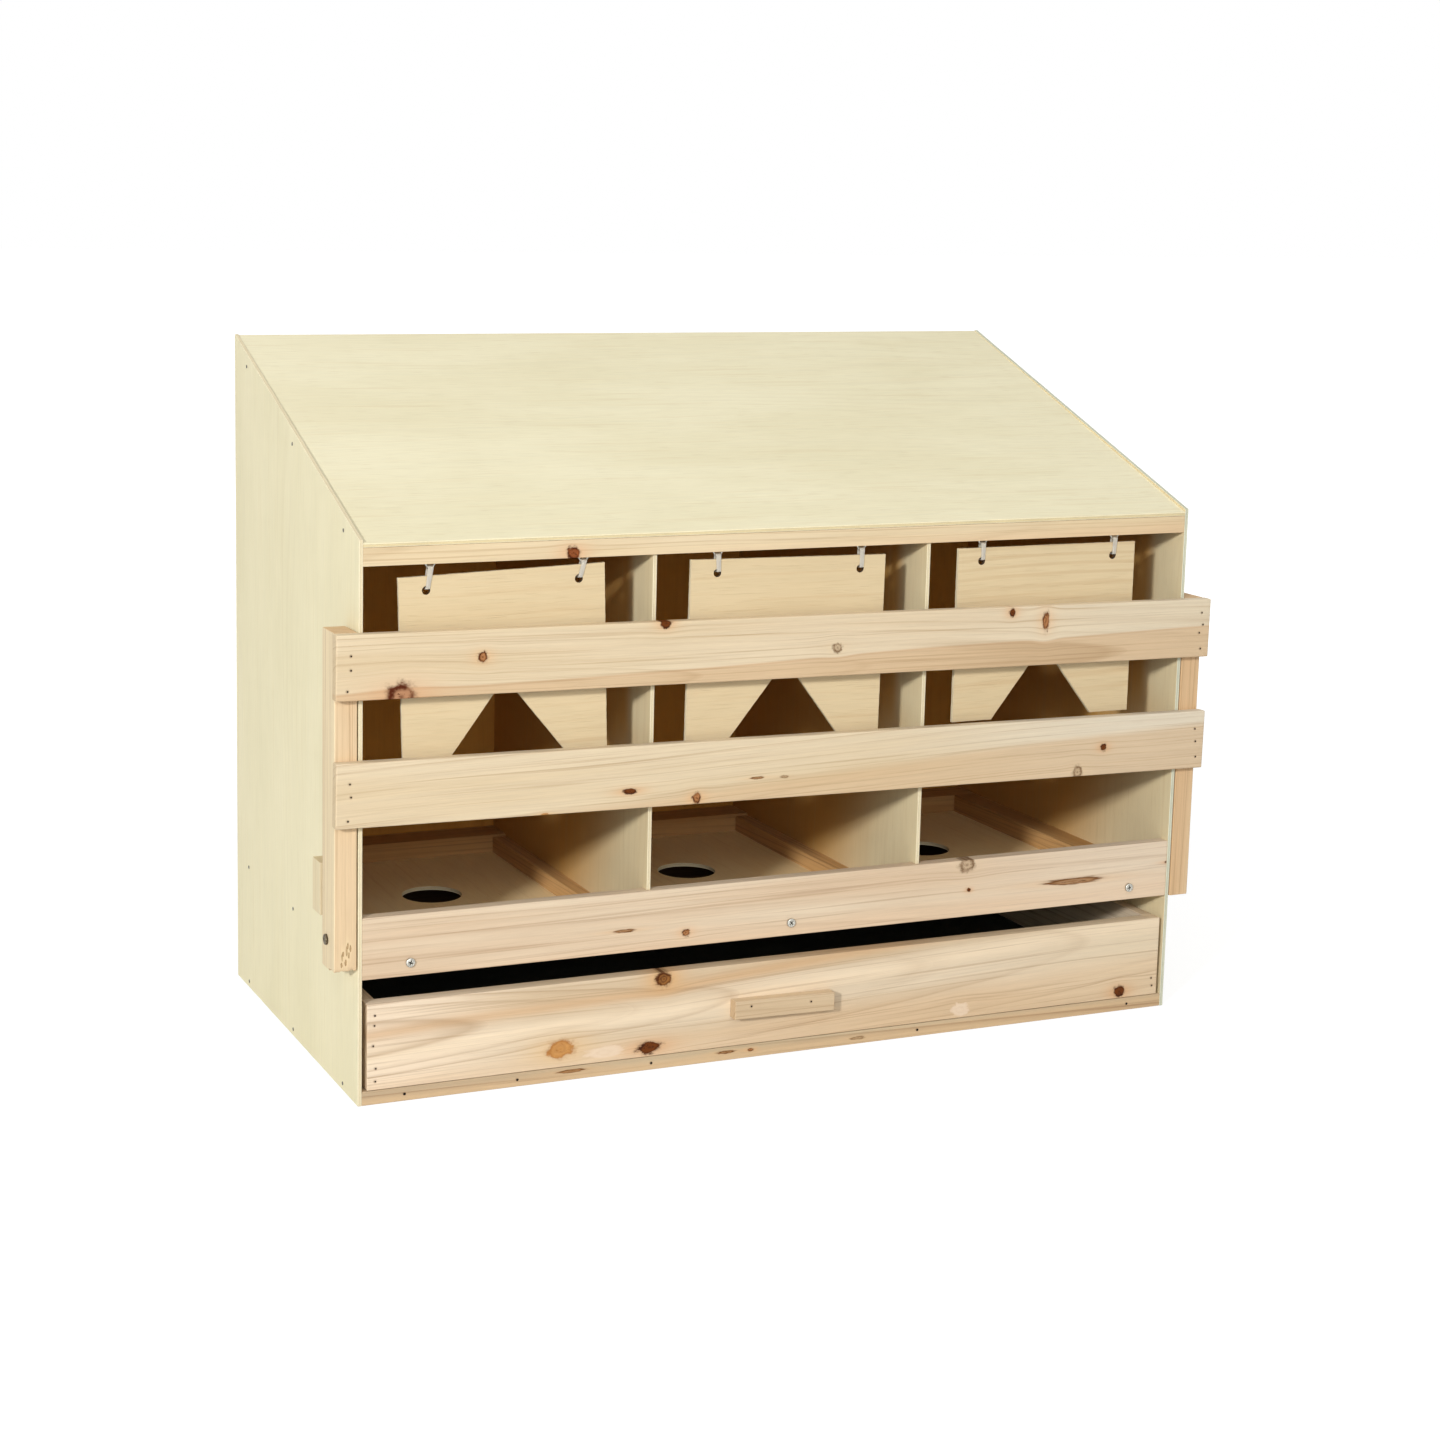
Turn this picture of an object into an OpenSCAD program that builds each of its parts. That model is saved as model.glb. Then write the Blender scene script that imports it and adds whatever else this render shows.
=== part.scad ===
// Hen nesting box: three nests side by side, swinging curtains over their
// entrances, a folding slatted perch in front and a roll-away egg drawer below.
// Plywood sheets are nailed to solid wood battens. Sizes are in millimetres.
// X runs along the front, Y from the front to the back, and Z is up from the ground.

/* [Case] */
// Width over both side panels
case_width = 900; // [780:10:1100]
// Depth of the side panels
case_depth = 436; // [400:2:520]
// Height of the side panels at the back
back_height = 697; // [660:1:760]
// Height of the side panels at the front
front_height = 536; // [528:1:580]
// Thickness of the plywood panels, roof, floor and dividers
ply = 4; // [3:0.5:6]
// How far the roof sheet lies below the top edges of the side panels
roof_inset = 0.8; // [0.5:0.1:6]
// How much further down the roof sheet lies at the front than at the back
roof_front_drop = 2.2; // [0:0.1:4]

/* [Top frame] */
// Height of the top front rail at its face
top_rail_height = 17.2; // [14:0.1:24]
// Depth of the top rails, front to back
top_rail_depth = 20; // [18:1:30]
// Width of the battens under the roof, above the floor and beside the drawer
batten_width = 18; // [14:1:24]
// Height of the battens under the roof, square to it
roof_batten_height = 18; // [12:1:26]

/* [Nests] */
// Height of the nest floor's upper face above the ground
floor_height = 125; // [118:1:150]
// Height of the battens that stand on the nest floor
floor_batten_height = 20; // [14:1:28]
// Width of the floor batten at the case's right side
right_batten_width = 29; // [16:1:34]
// Width of the floor battens beside the dividers
divider_batten_width = 15.5; // [12:0.5:24]
// Height of the floor battens beside the dividers
divider_batten_height = 17.5; // [12:0.5:20]
// Depth of the rear batten in each nest
rear_batten_depth = 40; // [20:1:60]
// Diameter of the hole that an egg rolls through
egg_hole_diameter = 62.5; // [50:0.5:80]
// How far the outer nests' egg holes lie towards the middle nest
egg_hole_shift = 7; // [0:0.5:12]
// Distance of the egg holes behind the front edges
egg_hole_back = 250; // [200:5:300]
// How far the dividers stand to the left of even thirds
divider_shift = 5; // [0:0.5:12]
// How far the dividers' front edges stand behind the case's
divider_setback = 4; // [1:1:10]
// Height of the board in front of the nests
board_height = 59.8; // [50:0.1:80]
// Thickness of the board in front of the nests
board_thickness = 14; // [12:1:20]
// How far the front board hangs below the nest floor's upper face
board_drop = 3.1; // [0:0.1:4]

/* [Base] */
// Height of the base rails, battens and runners
base_height = 13.6; // [12:0.1:20]
// Depth of the base rails, front to back
base_rail_depth = 20; // [16:1:30]
// Distance of the outer runners' middles from the side panels' inner faces
outer_runner_inset = 42; // [36:1:70]
// Distance of the extra runner's middle from the case's middle, on the left
extra_runner_x = 290; // [240:1:320]

/* [Perch] */
// How far the perch slats reach past the arms' outer faces
slat_overhang = 2; // [0:0.5:20]
// Width of the perch slats, up and down when folded up
slat_width = 61.4; // [40:0.1:70]
// Thickness of the perch slats
slat_thickness = 12; // [9:1:18]
// Height of the upper slat's middle above the ground when folded up
upper_slat_height = 416.3; // [380:0.1:440]
// Distance between the middles of the two slats
slat_spacing = 119.1; // [90:0.1:130]
// Degrees by which the slats are nailed off level, left end up
slat_lean = 0.57; // [0:0.01:0.7]
// Thickness of the perch arms, along X
arm_thickness = 22; // [18:1:30]
// Depth of the perch arms when folded up, along Y
arm_depth = 38; // [32:1:48]
// Length of the perch arms
arm_length = 321.2; // [310:0.1:340]
// Height of the perch's pivot above the battens on the nest floor
pivot_rise = 13.6; // [10:0.1:20]
// Distance of the pivot behind the arms' front faces
pivot_back = 23; // [18:1:28]
// Diameter of the pivot bolts
pivot_diameter = 6; // [5:0.5:8]
// Radial clearance of an arm on its bolt
pivot_clearance = 0.08; // [0.04:0.02:0.1]
// Thickness of the spacer washer between an arm and the side panel
spacer_thickness = 1; // [0.5:0.1:2]
// Depth of a stop block, front to back
stop_depth = 25; // [20:1:40]
// Height of a stop block
stop_height = 51; // [40:1:70]
// Distance between the front edges of the case and a stop block
stop_back = 49.5; // [48:0.5:54]

/* [Curtains] */
// Width of the left curtain
left_curtain_width = 205.5; // [190:0.1:220]
// Width of the middle curtain
middle_curtain_width = 212.3; // [190:0.1:220]
// Width of the right curtain
right_curtain_width = 209.9; // [190:0.1:220]
// Height of the curtains
curtain_height = 178; // [150:1:185]
// Thickness of the curtains
curtain_thickness = 4; // [3:0.5:5]
// Distance of the left curtain's middle from its nest's middle
left_curtain_shift = -8.7; // [-14:0.1:14]
// Distance of the middle curtain's middle from its nest's middle
middle_curtain_shift = -8.4; // [-14:0.1:14]
// Distance of the right curtain's middle from its nest's middle
right_curtain_shift = -12.5; // [-14:0.1:14]
// Degrees by which the left curtain hangs off level, right end up
left_curtain_lean = 1.8; // [-2.4:0.1:2.4]
// Degrees by which the middle curtain hangs off level, right end up
middle_curtain_lean = -0.7; // [-2.4:0.1:2.4]
// Degrees by which the right curtain hangs off level, right end up
right_curtain_lean = 0; // [-2.4:0.1:2.4]
// Width of the notch at a curtain's lower edge
notch_width = 119; // [80:1:140]
// Height of the notch
notch_height = 76; // [50:1:100]
// Diameter of the holes that a curtain hangs by
tie_hole_diameter = 8; // [6:0.5:9]
// Distance between the two holes of the middle and right curtains
tie_hole_spacing = 156; // [130:1:160]
// Distance between the left curtain's two holes
left_tie_hole_spacing = 152; // [130:1:160]
// Distance of the holes' middles below the curtain's upper edge
tie_hole_drop = 13.5; // [11:0.5:18]
// Wire diameter of the staples that carry the curtains
staple_wire = 2; // [1.5:0.1:2.4]
// Width over a staple's two legs
staple_width = 12; // [11:0.5:14]
// How far a staple's wire reaches below the top rail
staple_drop = 6.5; // [6:0.1:7]
// Width of the ties
tie_width = 4; // [3:0.2:4.4]
// Thickness of the ties
tie_thickness = 1; // [0.8:0.1:1.2]
// Distance from a staple's wire to the nearest point of a curtain's upper edge
curtain_gap = 0.8; // [0.6:0.1:3]
// How much lower the middle and right curtains hang
curtain_drop = 0.8; // [0:0.1:2]

/* [Drawer] */
// Gap between the drawer and each side panel
drawer_side_gap = 5; // [2:0.5:10]
// Height of the drawer
drawer_height = 84; // [60:0.2:90]
// Gap between the drawer and the back panel
drawer_back_gap = 12; // [4:1:40]
// Thickness of the drawer front
drawer_front_thickness = 16; // [12:1:20]
// Thickness of the drawer's side and back boards
drawer_board = 12; // [9:1:16]
// Thickness of the mat in the drawer
mat_thickness = 4; // [2:0.5:8]
// Length of the batten that the drawer is pulled by
pull_length = 110.7; // [80:0.1:200]
// Height of the pull batten
pull_height = 18.6; // [12:0.1:30]
// Thickness of the pull batten
pull_thickness = 12; // [6:1:14]
// Distance of the pull batten's middle from the case's middle, to the left
pull_offset = 9.4; // [0:0.1:60]
// Height of the pull batten's middle above the drawer's underside
pull_middle = 39.2; // [30:0.1:50]
// Degrees by which the pull batten is nailed off level, left end up
pull_lean = 0.9; // [0:0.1:3]

/* [Fixings] */
// Diameter of the nails
nail_diameter = 1.8; // [1.2:0.1:2.4]
// Diameter of the nail heads
nail_head = 3.4; // [3:0.1:4.5]
// Diameter of the small heads of the nails in solid wood
wood_nail_head = 2.4; // [2.4:0.1:4]
// Height that the nail heads stand proud
nail_head_height = 0.6; // [0.4:0.1:1]
// Length of the nails in the plywood panels
panel_nail_length = 17; // [12:1:17]
// Length of the nails in the solid wood
wood_nail_length = 34; // [28:1:36]
// Distance of the end nails from the front and back edges of the side panels
nail_end = 48; // [36:1:60]
// Diameter of the front board's screws
screw_diameter = 4; // [3:0.5:5]
// Diameter of the screw heads
screw_head = 9; // [8:0.5:11]
// Height of the screw heads
screw_head_height = 2.4; // [1.6:0.2:3]
// Length of the front board's screws, below the head
screw_length = 28; // [22:1:30]
// Distance of the outer screws from the side panels' inner faces
screw_end = 47; // [30:1:90]
// Radial clearance of a nail or screw in its hole
fixing_clearance = 0.05; // [0.02:0.01:0.1]

/* [Hidden] */
$fn = 32;

// Gap between two pieces that move past each other
moving_gap = 0.4;
// Gap between a hole's end and the fixing in it
hole_end_gap = 0.5;
// A cut reaches this far past the face it starts at
cut = 1;

// The case. Inside the modules, y = 0 is the plane of its front edges.
inner_x = case_width / 2 - ply;
inner_back = case_depth - ply;
front_y = (slat_thickness + moving_gap + nail_head_height - case_depth) / 2;
rise = (back_height - front_height) / case_depth;
slant = sqrt(1 + rise * rise);
function panel_top(y) = front_height + rise * y;
function roof_top(y) = panel_top(y) - roof_inset * slant - roof_front_drop * (1 - y / case_depth);
function roof_under(y) = roof_top(y) - ply * slant;

// The nests, counted -1, 0 and 1 from the left
nest_pitch = (2 * inner_x + ply) / 3;
nest_half = (nest_pitch - ply) / 2;
function nest_x(nest) = nest * nest_pitch;
function divider_x(side) = side * nest_pitch / 2 - divider_shift;
// Where the wall on one side of a nest is, and the face of the batten along it
function nest_wall(nest, side) =
    nest == side ? side * inner_x : divider_x(nest == 0 ? side : nest) - side * ply / 2;
function side_batten_width(nest, side) =
    nest != side ? divider_batten_width : side < 0 ? batten_width : right_batten_width;
function batten_face(nest, side) = nest_wall(nest, side) - side * side_batten_width(nest, side);
board_bottom = floor_height - board_drop;
board_top = board_bottom + board_height;
top_rail_bottom = roof_under(0) - top_rail_height;
rear_rail_front = inner_back - top_rail_depth;
rear_rail_bottom = roof_under(rear_rail_front) - top_rail_height;
rear_batten_front = inner_back - rear_batten_depth;
runner_places = [
    -(inner_x - outer_runner_inset), -extra_runner_x, -nest_pitch / 2,
    nest_pitch / 2, inner_x - outer_runner_inset
];

// The perch
perch_front = -moving_gap;
pivot_y = perch_front + pivot_back;
pivot_height = floor_height + floor_batten_height + pivot_rise;
arm_inner_x = case_width / 2 + spacer_thickness + moving_gap;
arm_middle_x = arm_inner_x + arm_thickness / 2;
arm_outer_x = arm_inner_x + arm_thickness;
slat_half = arm_outer_x + slat_overhang;
lower_slat_height = upper_slat_height - slat_spacing;
function arm_top(side) = upper_slat_height + slat_width / 2 - side * arm_middle_x * tan(slat_lean);
stop_bottom = pivot_height + arm_depth - pivot_back + moving_gap;
pivot_hole = pivot_diameter + 2 * pivot_clearance;
washer_diameter = 2.4 * pivot_diameter;
washer_thickness = 1.2;
nut_width = 1.8 * pivot_diameter;
nut_height = 0.8 * pivot_diameter;
bolt_head = 1.7 * pivot_diameter;
bolt_head_height = 2.5;
bolt_end = 2;

// The curtains: middle, width and lean of each, distance between its holes, and how much lower it hangs
curtains = [
    [nest_x(-1) + left_curtain_shift, left_curtain_width, left_curtain_lean, left_tie_hole_spacing, 0],
    [middle_curtain_shift, middle_curtain_width, middle_curtain_lean, tie_hole_spacing, curtain_drop],
    [nest_x(1) + right_curtain_shift, right_curtain_width, right_curtain_lean, tie_hole_spacing, curtain_drop]
];
curtain_y = top_rail_depth / 2;
staple_bend = (staple_width - staple_wire) / 2;
hinge_z = top_rail_bottom - staple_drop + staple_wire / 2;
staple_leg = 11;
function curtain_top(curtain) =
    hinge_z - staple_wire / 2 - curtain_gap - curtain[4] - curtain[3] / 2 * abs(sin(curtain[2]));
function tie_x(curtain, side) =
    curtain[0] + side * curtain[3] / 2 * cos(curtain[2]) + tie_hole_drop * sin(curtain[2]);
function tie_hole_z(curtain, side) =
    curtain_top(curtain) + side * curtain[3] / 2 * sin(curtain[2]) - tie_hole_drop * cos(curtain[2]);
staple_inner = staple_bend - staple_wire / 2;
tie_inside_top = hinge_z + staple_wire / 2 + moving_gap
    + staple_inner - sqrt(staple_inner * staple_inner - tie_width * tie_width / 4);
tie_seat = sqrt(tie_hole_diameter * tie_hole_diameter - tie_width * tie_width) / 2;
tie_play = 0.2;

// The drawer
drawer_bottom_z = base_height + moving_gap;
drawer_half = inner_x - drawer_side_gap;
drawer_inner_half = drawer_half - drawer_board;
drawer_depth = inner_back - drawer_back_gap;
drawer_inner_back = drawer_depth - drawer_board;
drawer_floor_z = drawer_bottom_z + ply;
drawer_top = drawer_bottom_z + drawer_height;
drawer_nail_x = drawer_half - drawer_board / 2;
pull_z = drawer_bottom_z + pull_middle;

// Nails in the solid wood, where they were driven: how far to the right of the wood's middle
// and how far above it, both as shares of half the wood's height
left_upper_slat_nails = [[0.04, 0.36], [0.04, -0.07], [-0.06, -0.70]];
right_upper_slat_nails = [[0.07, 0.53], [0.14, 0.12], [0.01, -0.16], [0.09, -0.71]];
left_lower_slat_nails = [[0.01, 0.37], [0.05, -0.03], [-0.04, -0.76]];
right_lower_slat_nails = [[0.04, 0.38], [0.09, -0.06], [0.13, -0.60]];
left_drawer_nails = [[0.04, 0.73], [0.03, 0.50], [0, 0.03], [0.06, -0.50], [0.05, -0.80]];
right_drawer_nails = [[-0.03, -0.57], [0, -0.77]];
// The pull batten's nails, as shares of its half length and of its half height
pull_nails = [[-0.68, 0.35], [0.52, 0.22]];
// Nails in the battens, by their height as a share of the batten's
nail_line = 0.4;
side_nail_places = [nail_end, case_depth / 2, case_depth - nail_end];
function side_nail_rows(y) = [
    base_height / 2,
    floor_height + floor_batten_height * nail_line,
    roof_under(y) - roof_batten_height * slant * nail_line
];
base_row = base_height / 2;
floor_row = floor_height + floor_batten_height * nail_line;
rear_rail_row = rear_rail_bottom + top_rail_height / 2;
stop_nail_y = stop_back + stop_depth / 2;
// On the right these nails go in from outside and end inside the side panel
function stop_nail_length(side) = side < 0 ? panel_nail_length : arm_thickness + ply / 2;
board_screw_z = floor_height + floor_batten_height / 2;
board_screw_x = inner_x - screw_end;

// Puts what is drawn with y = 0 at the case's front edges into the part's own frame
module in_case() {
    translate([0, front_y, 0]) children();
}

// A block between two corners
module block(low, high) {
    translate(low) cube(high - low);
}

// Extrudes an outline drawn in Y and Z along X
module along_x(low, high) {
    translate([low, 0, 0]) rotate([90, 0, 90]) linear_extrude(high - low) children();
}

// Turns Z to point out of the case: side -1 is left, 1 is right
module facing_side(side) {
    rotate([0, side * 90, 0]) children();
}

module facing_front() {
    rotate([90, 0, 0]) children();
}

module facing_back() {
    rotate([-90, 0, 0]) children();
}

// A nail whose head lies on z = 0
module nail(length, head = nail_head) {
    union() {
        translate([0, 0, -length]) cylinder(h = length, d = nail_diameter);
        cylinder(h = nail_head_height, d = head);
    }
}

module wood_nail() {
    nail(wood_nail_length, wood_nail_head);
}

module nail_hole(length) {
    translate([0, 0, -length - hole_end_gap])
        cylinder(h = length + hole_end_gap + cut, d = nail_diameter + 2 * fixing_clearance);
}

// A recess for the head of a nail that is driven flush
module nail_recess() {
    cylinder(h = nail_head_height + cut, d = nail_head + 2 * fixing_clearance);
}

// A cross recess, cut down from z = 0
module cross_recess(size, depth) {
    arm = size * 0.16;
    for (turn = [0, 90])
        rotate([0, 0, turn]) block([-size / 2, -arm / 2, -depth], [size / 2, arm / 2, cut]);
}

// A wood screw whose head lies on z = 0
module screw() {
    difference() {
        union() {
            translate([0, 0, -screw_length]) cylinder(h = screw_length, d = screw_diameter);
            cylinder(h = screw_head_height, d = screw_head);
        }
        translate([0, 0, screw_head_height]) cross_recess(screw_head * 0.6, screw_head_height * 0.6);
    }
}

module screw_hole() {
    translate([0, 0, -screw_length - hole_end_gap])
        cylinder(h = screw_length + hole_end_gap + cut, d = screw_diameter + 2 * fixing_clearance);
}

// Where the side panels' nails go, on the outer faces
module at_side_nails(side) {
    for (y = side_nail_places)
        for (z = side_nail_rows(y))
            translate([side * case_width / 2, y, z]) facing_side(side) children();
}

// Where a stop block's nails go: from inside the case on the left, from outside on the right
module at_stop_nails(side) {
    for (z = [0.25, 0.75])
        translate([side < 0 ? -inner_x : case_width / 2 + arm_thickness, stop_nail_y,
            stop_bottom + stop_height * z])
            facing_side(1) children();
}

// Where the back panel's nails go, two to a nest in each row, driven flush with the panel
module at_back_nails() {
    for (nest = [-1, 0, 1])
        for (half = [-0.5, 0.5])
            for (z = [base_row, floor_row, rear_rail_row])
                translate([nest_x(nest) + half * nest_half, case_depth - nail_head_height, z])
                    facing_back() children();
}

module at_base_rail_nails() {
    for (x = runner_places)
        translate([x, 0, base_row]) facing_front() children();
}

module at_board_screws() {
    for (x = [-board_screw_x, 0, board_screw_x])
        translate([x, 0, board_screw_z]) facing_front() children();
}

// Puts what is drawn round a slat's middle into place, at the slat's lean
module at_slat(height) {
    translate([0, perch_front, height]) rotate([0, slat_lean, 0]) children();
}

// Puts nails on a front face round the middle of a piece of wood, whose half height is given
module at_end_nails(x, places, half, front) {
    for (place = places)
        translate([x + place[0] * half, front, place[1] * half]) facing_front() children();
}

module at_upper_slat_nails(side) {
    at_slat(upper_slat_height)
        at_end_nails(side * arm_middle_x, side < 0 ? left_upper_slat_nails : right_upper_slat_nails,
            slat_width / 2, -slat_thickness) children();
}

module at_lower_slat_nails(side) {
    at_slat(lower_slat_height)
        at_end_nails(side * arm_middle_x, side < 0 ? left_lower_slat_nails : right_lower_slat_nails,
            slat_width / 2, -slat_thickness) children();
}

module at_drawer_nails(side) {
    translate([0, 0, (drawer_bottom_z + drawer_top) / 2])
        at_end_nails(side * drawer_nail_x, side < 0 ? left_drawer_nails : right_drawer_nails,
            drawer_height / 2, 0) children();
}

module at_pull() {
    translate([-pull_offset, 0, pull_z]) rotate([0, pull_lean, 0]) children();
}

module at_pull_nails() {
    at_pull()
        for (place = pull_nails)
            translate([place[0] * pull_length / 2, -pull_thickness, place[1] * pull_height / 2])
                facing_front() children();
}

module at_pivots() {
    for (side = [-1, 1])
        at_pivot(side) children();
}

// z = 0 is the arm's outer face, and Z points away from the case
module at_pivot(side) {
    translate([side * arm_outer_x, pivot_y, pivot_height]) facing_side(side) children();
}

module pivot_bore(side) {
    translate([side * (inner_x - cut), pivot_y, pivot_height]) facing_side(side)
        cylinder(h = arm_outer_x - inner_x + 2 * cut, d = pivot_hole);
}

module washer(thickness) {
    difference() {
        cylinder(h = thickness, d = washer_diameter);
        translate([0, 0, -cut]) cylinder(h = thickness + 2 * cut, d = pivot_hole);
    }
}

module side_panel(side) {
    difference() {
        along_x(side < 0 ? -case_width / 2 : inner_x, side < 0 ? -inner_x : case_width / 2)
            polygon([[0, 0], [case_depth, 0], [case_depth, back_height], [0, front_height]]);
        at_side_nails(side) nail_hole(panel_nail_length);
        at_stop_nails(side) nail_hole(stop_nail_length(side));
        pivot_bore(side);
    }
}

module left_side_panel() {
    color("cornsilk") in_case() side_panel(-1);
}

module right_side_panel() {
    color("cornsilk") in_case() side_panel(1);
}

module back_panel() {
    color("cornsilk") in_case() difference() {
        along_x(-inner_x, inner_x)
            polygon([
                [inner_back, 0], [case_depth, 0],
                [case_depth, roof_under(case_depth)], [inner_back, roof_under(inner_back)]
            ]);
        at_back_nails() {
            nail_hole(panel_nail_length);
            nail_recess();
        }
    }
}

module roof_panel() {
    color("ivory") in_case() along_x(-inner_x, inner_x)
        polygon([
            [0, roof_under(0)], [case_depth, roof_under(case_depth)],
            [case_depth, roof_top(case_depth)], [0, roof_top(0)]
        ]);
}

// A rail's outline from its front face at y, with its upper face on the roof sheet
module rail_under_roof(y, bottom) {
    polygon([
        [y, bottom], [y + top_rail_depth, bottom],
        [y + top_rail_depth, roof_under(y + top_rail_depth)], [y, roof_under(y)]
    ]);
}

module top_front_rail() {
    color("burlywood") in_case() difference() {
        along_x(-inner_x, inner_x) rail_under_roof(0, top_rail_bottom);
        at_staples() staple_holes();
    }
}

module top_rear_rail() {
    color("burlywood") in_case() difference() {
        along_x(-inner_x, inner_x) rail_under_roof(rear_rail_front, rear_rail_bottom);
        at_back_nails() nail_hole(panel_nail_length);
    }
}

module roof_batten(side) {
    in_case() difference() {
        along_x(side < 0 ? -inner_x : inner_x - batten_width, side < 0 ? batten_width - inner_x : inner_x)
            polygon([
                [top_rail_depth, roof_under(top_rail_depth)],
                [rear_rail_front, roof_under(rear_rail_front)],
                [rear_rail_front, roof_under(rear_rail_front) - roof_batten_height * slant],
                [top_rail_depth, roof_under(top_rail_depth) - roof_batten_height * slant]
            ]);
        at_side_nails(side) nail_hole(panel_nail_length);
    }
}

module left_roof_batten() {
    color("tan") roof_batten(-1);
}

module right_roof_batten() {
    color("tan") roof_batten(1);
}

// A divider stands on the floor, behind the front board and under the top rails
module divider(side) {
    in_case() along_x(divider_x(side) - ply / 2, divider_x(side) + ply / 2)
        polygon([
            [board_thickness, floor_height], [inner_back, floor_height],
            [inner_back, rear_rail_bottom], [rear_rail_front, rear_rail_bottom],
            [rear_rail_front, roof_under(rear_rail_front)], [top_rail_depth, roof_under(top_rail_depth)],
            [top_rail_depth, top_rail_bottom], [divider_setback, top_rail_bottom],
            [divider_setback, board_top], [board_thickness, board_top]
        ]);
}

module left_divider() {
    color("wheat") divider(-1);
}

module right_divider() {
    color("wheat") divider(1);
}

module nest_floor() {
    color("wheat") in_case() difference() {
        block([-inner_x, board_thickness, floor_height - ply], [inner_x, inner_back, floor_height]);
        for (nest = [-1, 0, 1])
            translate([nest_x(nest) - nest * egg_hole_shift, egg_hole_back, floor_height - ply - cut])
                cylinder(h = ply + 2 * cut, d = egg_hole_diameter, $fn = 96);
    }
}

// A batten along one side of a nest, from the front board to the rear batten
module nest_side_batten(nest, side) {
    near = nest_wall(nest, side);
    far = batten_face(nest, side);
    height = nest == side ? floor_batten_height : divider_batten_height;
    color("peru") in_case() difference() {
        block([min(near, far), board_thickness, floor_height],
            [max(near, far), rear_batten_front, floor_height + height]);
        if (nest == side)
            at_side_nails(side) nail_hole(panel_nail_length);
    }
}

module left_nest_left_batten() {
    nest_side_batten(-1, -1);
}

module left_nest_right_batten() {
    nest_side_batten(-1, 1);
}

module middle_nest_left_batten() {
    nest_side_batten(0, -1);
}

module middle_nest_right_batten() {
    nest_side_batten(0, 1);
}

module right_nest_left_batten() {
    nest_side_batten(1, -1);
}

module right_nest_right_batten() {
    nest_side_batten(1, 1);
}

// The batten behind the front board, which the board is screwed to
module nest_front_batten(nest) {
    color("peru") in_case() difference() {
        block([batten_face(nest, -1), board_thickness, floor_height],
            [batten_face(nest, 1), board_thickness + batten_width, floor_height + floor_batten_height]);
        at_board_screws() screw_hole();
    }
}

module left_nest_front_batten() {
    nest_front_batten(-1);
}

module middle_nest_front_batten() {
    nest_front_batten(0);
}

module right_nest_front_batten() {
    nest_front_batten(1);
}

module nest_rear_batten(nest) {
    color("peru") in_case() difference() {
        block([nest_wall(nest, -1), rear_batten_front, floor_height],
            [nest_wall(nest, 1), inner_back, floor_height + floor_batten_height]);
        at_back_nails() nail_hole(panel_nail_length);
    }
}

module left_nest_rear_batten() {
    nest_rear_batten(-1);
}

module middle_nest_rear_batten() {
    nest_rear_batten(0);
}

module right_nest_rear_batten() {
    nest_rear_batten(1);
}

module front_floor_board() {
    color("burlywood") in_case() difference() {
        block([-inner_x, 0, board_bottom], [inner_x, board_thickness, board_top]);
        at_board_screws() screw_hole();
    }
}

module base_front_rail() {
    color("burlywood") in_case() difference() {
        block([-inner_x, 0, 0], [inner_x, base_rail_depth, base_height]);
        at_base_rail_nails() nail_hole(wood_nail_length);
    }
}

module base_rear_rail() {
    color("burlywood") in_case() difference() {
        block([-inner_x, inner_back - base_rail_depth, 0], [inner_x, inner_back, base_height]);
        at_back_nails() nail_hole(panel_nail_length);
    }
}

module base_batten(side) {
    color("tan") in_case() difference() {
        block([side < 0 ? -inner_x : inner_x - batten_width, base_rail_depth, 0],
            [side < 0 ? batten_width - inner_x : inner_x, inner_back - base_rail_depth, base_height]);
        at_side_nails(side) nail_hole(panel_nail_length);
    }
}

module left_base_batten() {
    base_batten(-1);
}

module right_base_batten() {
    base_batten(1);
}

// The battens that the drawer slides on
module drawer_runners() {
    color("tan") in_case() difference() {
        for (x = runner_places)
            block([x - batten_width / 2, base_rail_depth, 0],
                [x + batten_width / 2, inner_back - base_rail_depth, base_height]);
        at_base_rail_nails() nail_hole(wood_nail_length);
    }
}

// The block that an arm's foot swings up against when the perch is down
module stop_block(side) {
    outer = case_width / 2 + arm_thickness;
    color("burlywood") in_case() difference() {
        block([side < 0 ? -outer : case_width / 2, stop_back, stop_bottom],
            [side < 0 ? -case_width / 2 : outer, stop_back + stop_depth, stop_bottom + stop_height]);
        at_stop_nails(side) nail_hole(stop_nail_length(side));
    }
}

module left_stop_block() {
    stop_block(-1);
}

module right_stop_block() {
    stop_block(1);
}

module perch_arm(side) {
    color("burlywood") in_case() difference() {
        block([side < 0 ? -arm_outer_x : arm_inner_x, perch_front, arm_top(side) - arm_length],
            [side < 0 ? -arm_inner_x : arm_outer_x, perch_front + arm_depth, arm_top(side)]);
        pivot_bore(side);
        at_upper_slat_nails(side) nail_hole(wood_nail_length);
        at_lower_slat_nails(side) nail_hole(wood_nail_length);
    }
}

module left_perch_arm() {
    perch_arm(-1);
}

module right_perch_arm() {
    perch_arm(1);
}

module slat(height) {
    at_slat(height)
        block([-slat_half, -slat_thickness, -slat_width / 2], [slat_half, 0, slat_width / 2]);
}

module upper_perch_slat() {
    color("burlywood") in_case() difference() {
        slat(upper_slat_height);
        for (side = [-1, 1])
            at_upper_slat_nails(side) nail_hole(wood_nail_length);
    }
}

module lower_perch_slat() {
    color("burlywood") in_case() difference() {
        slat(lower_slat_height);
        for (side = [-1, 1])
            at_lower_slat_nails(side) nail_hole(wood_nail_length);
    }
}

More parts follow.
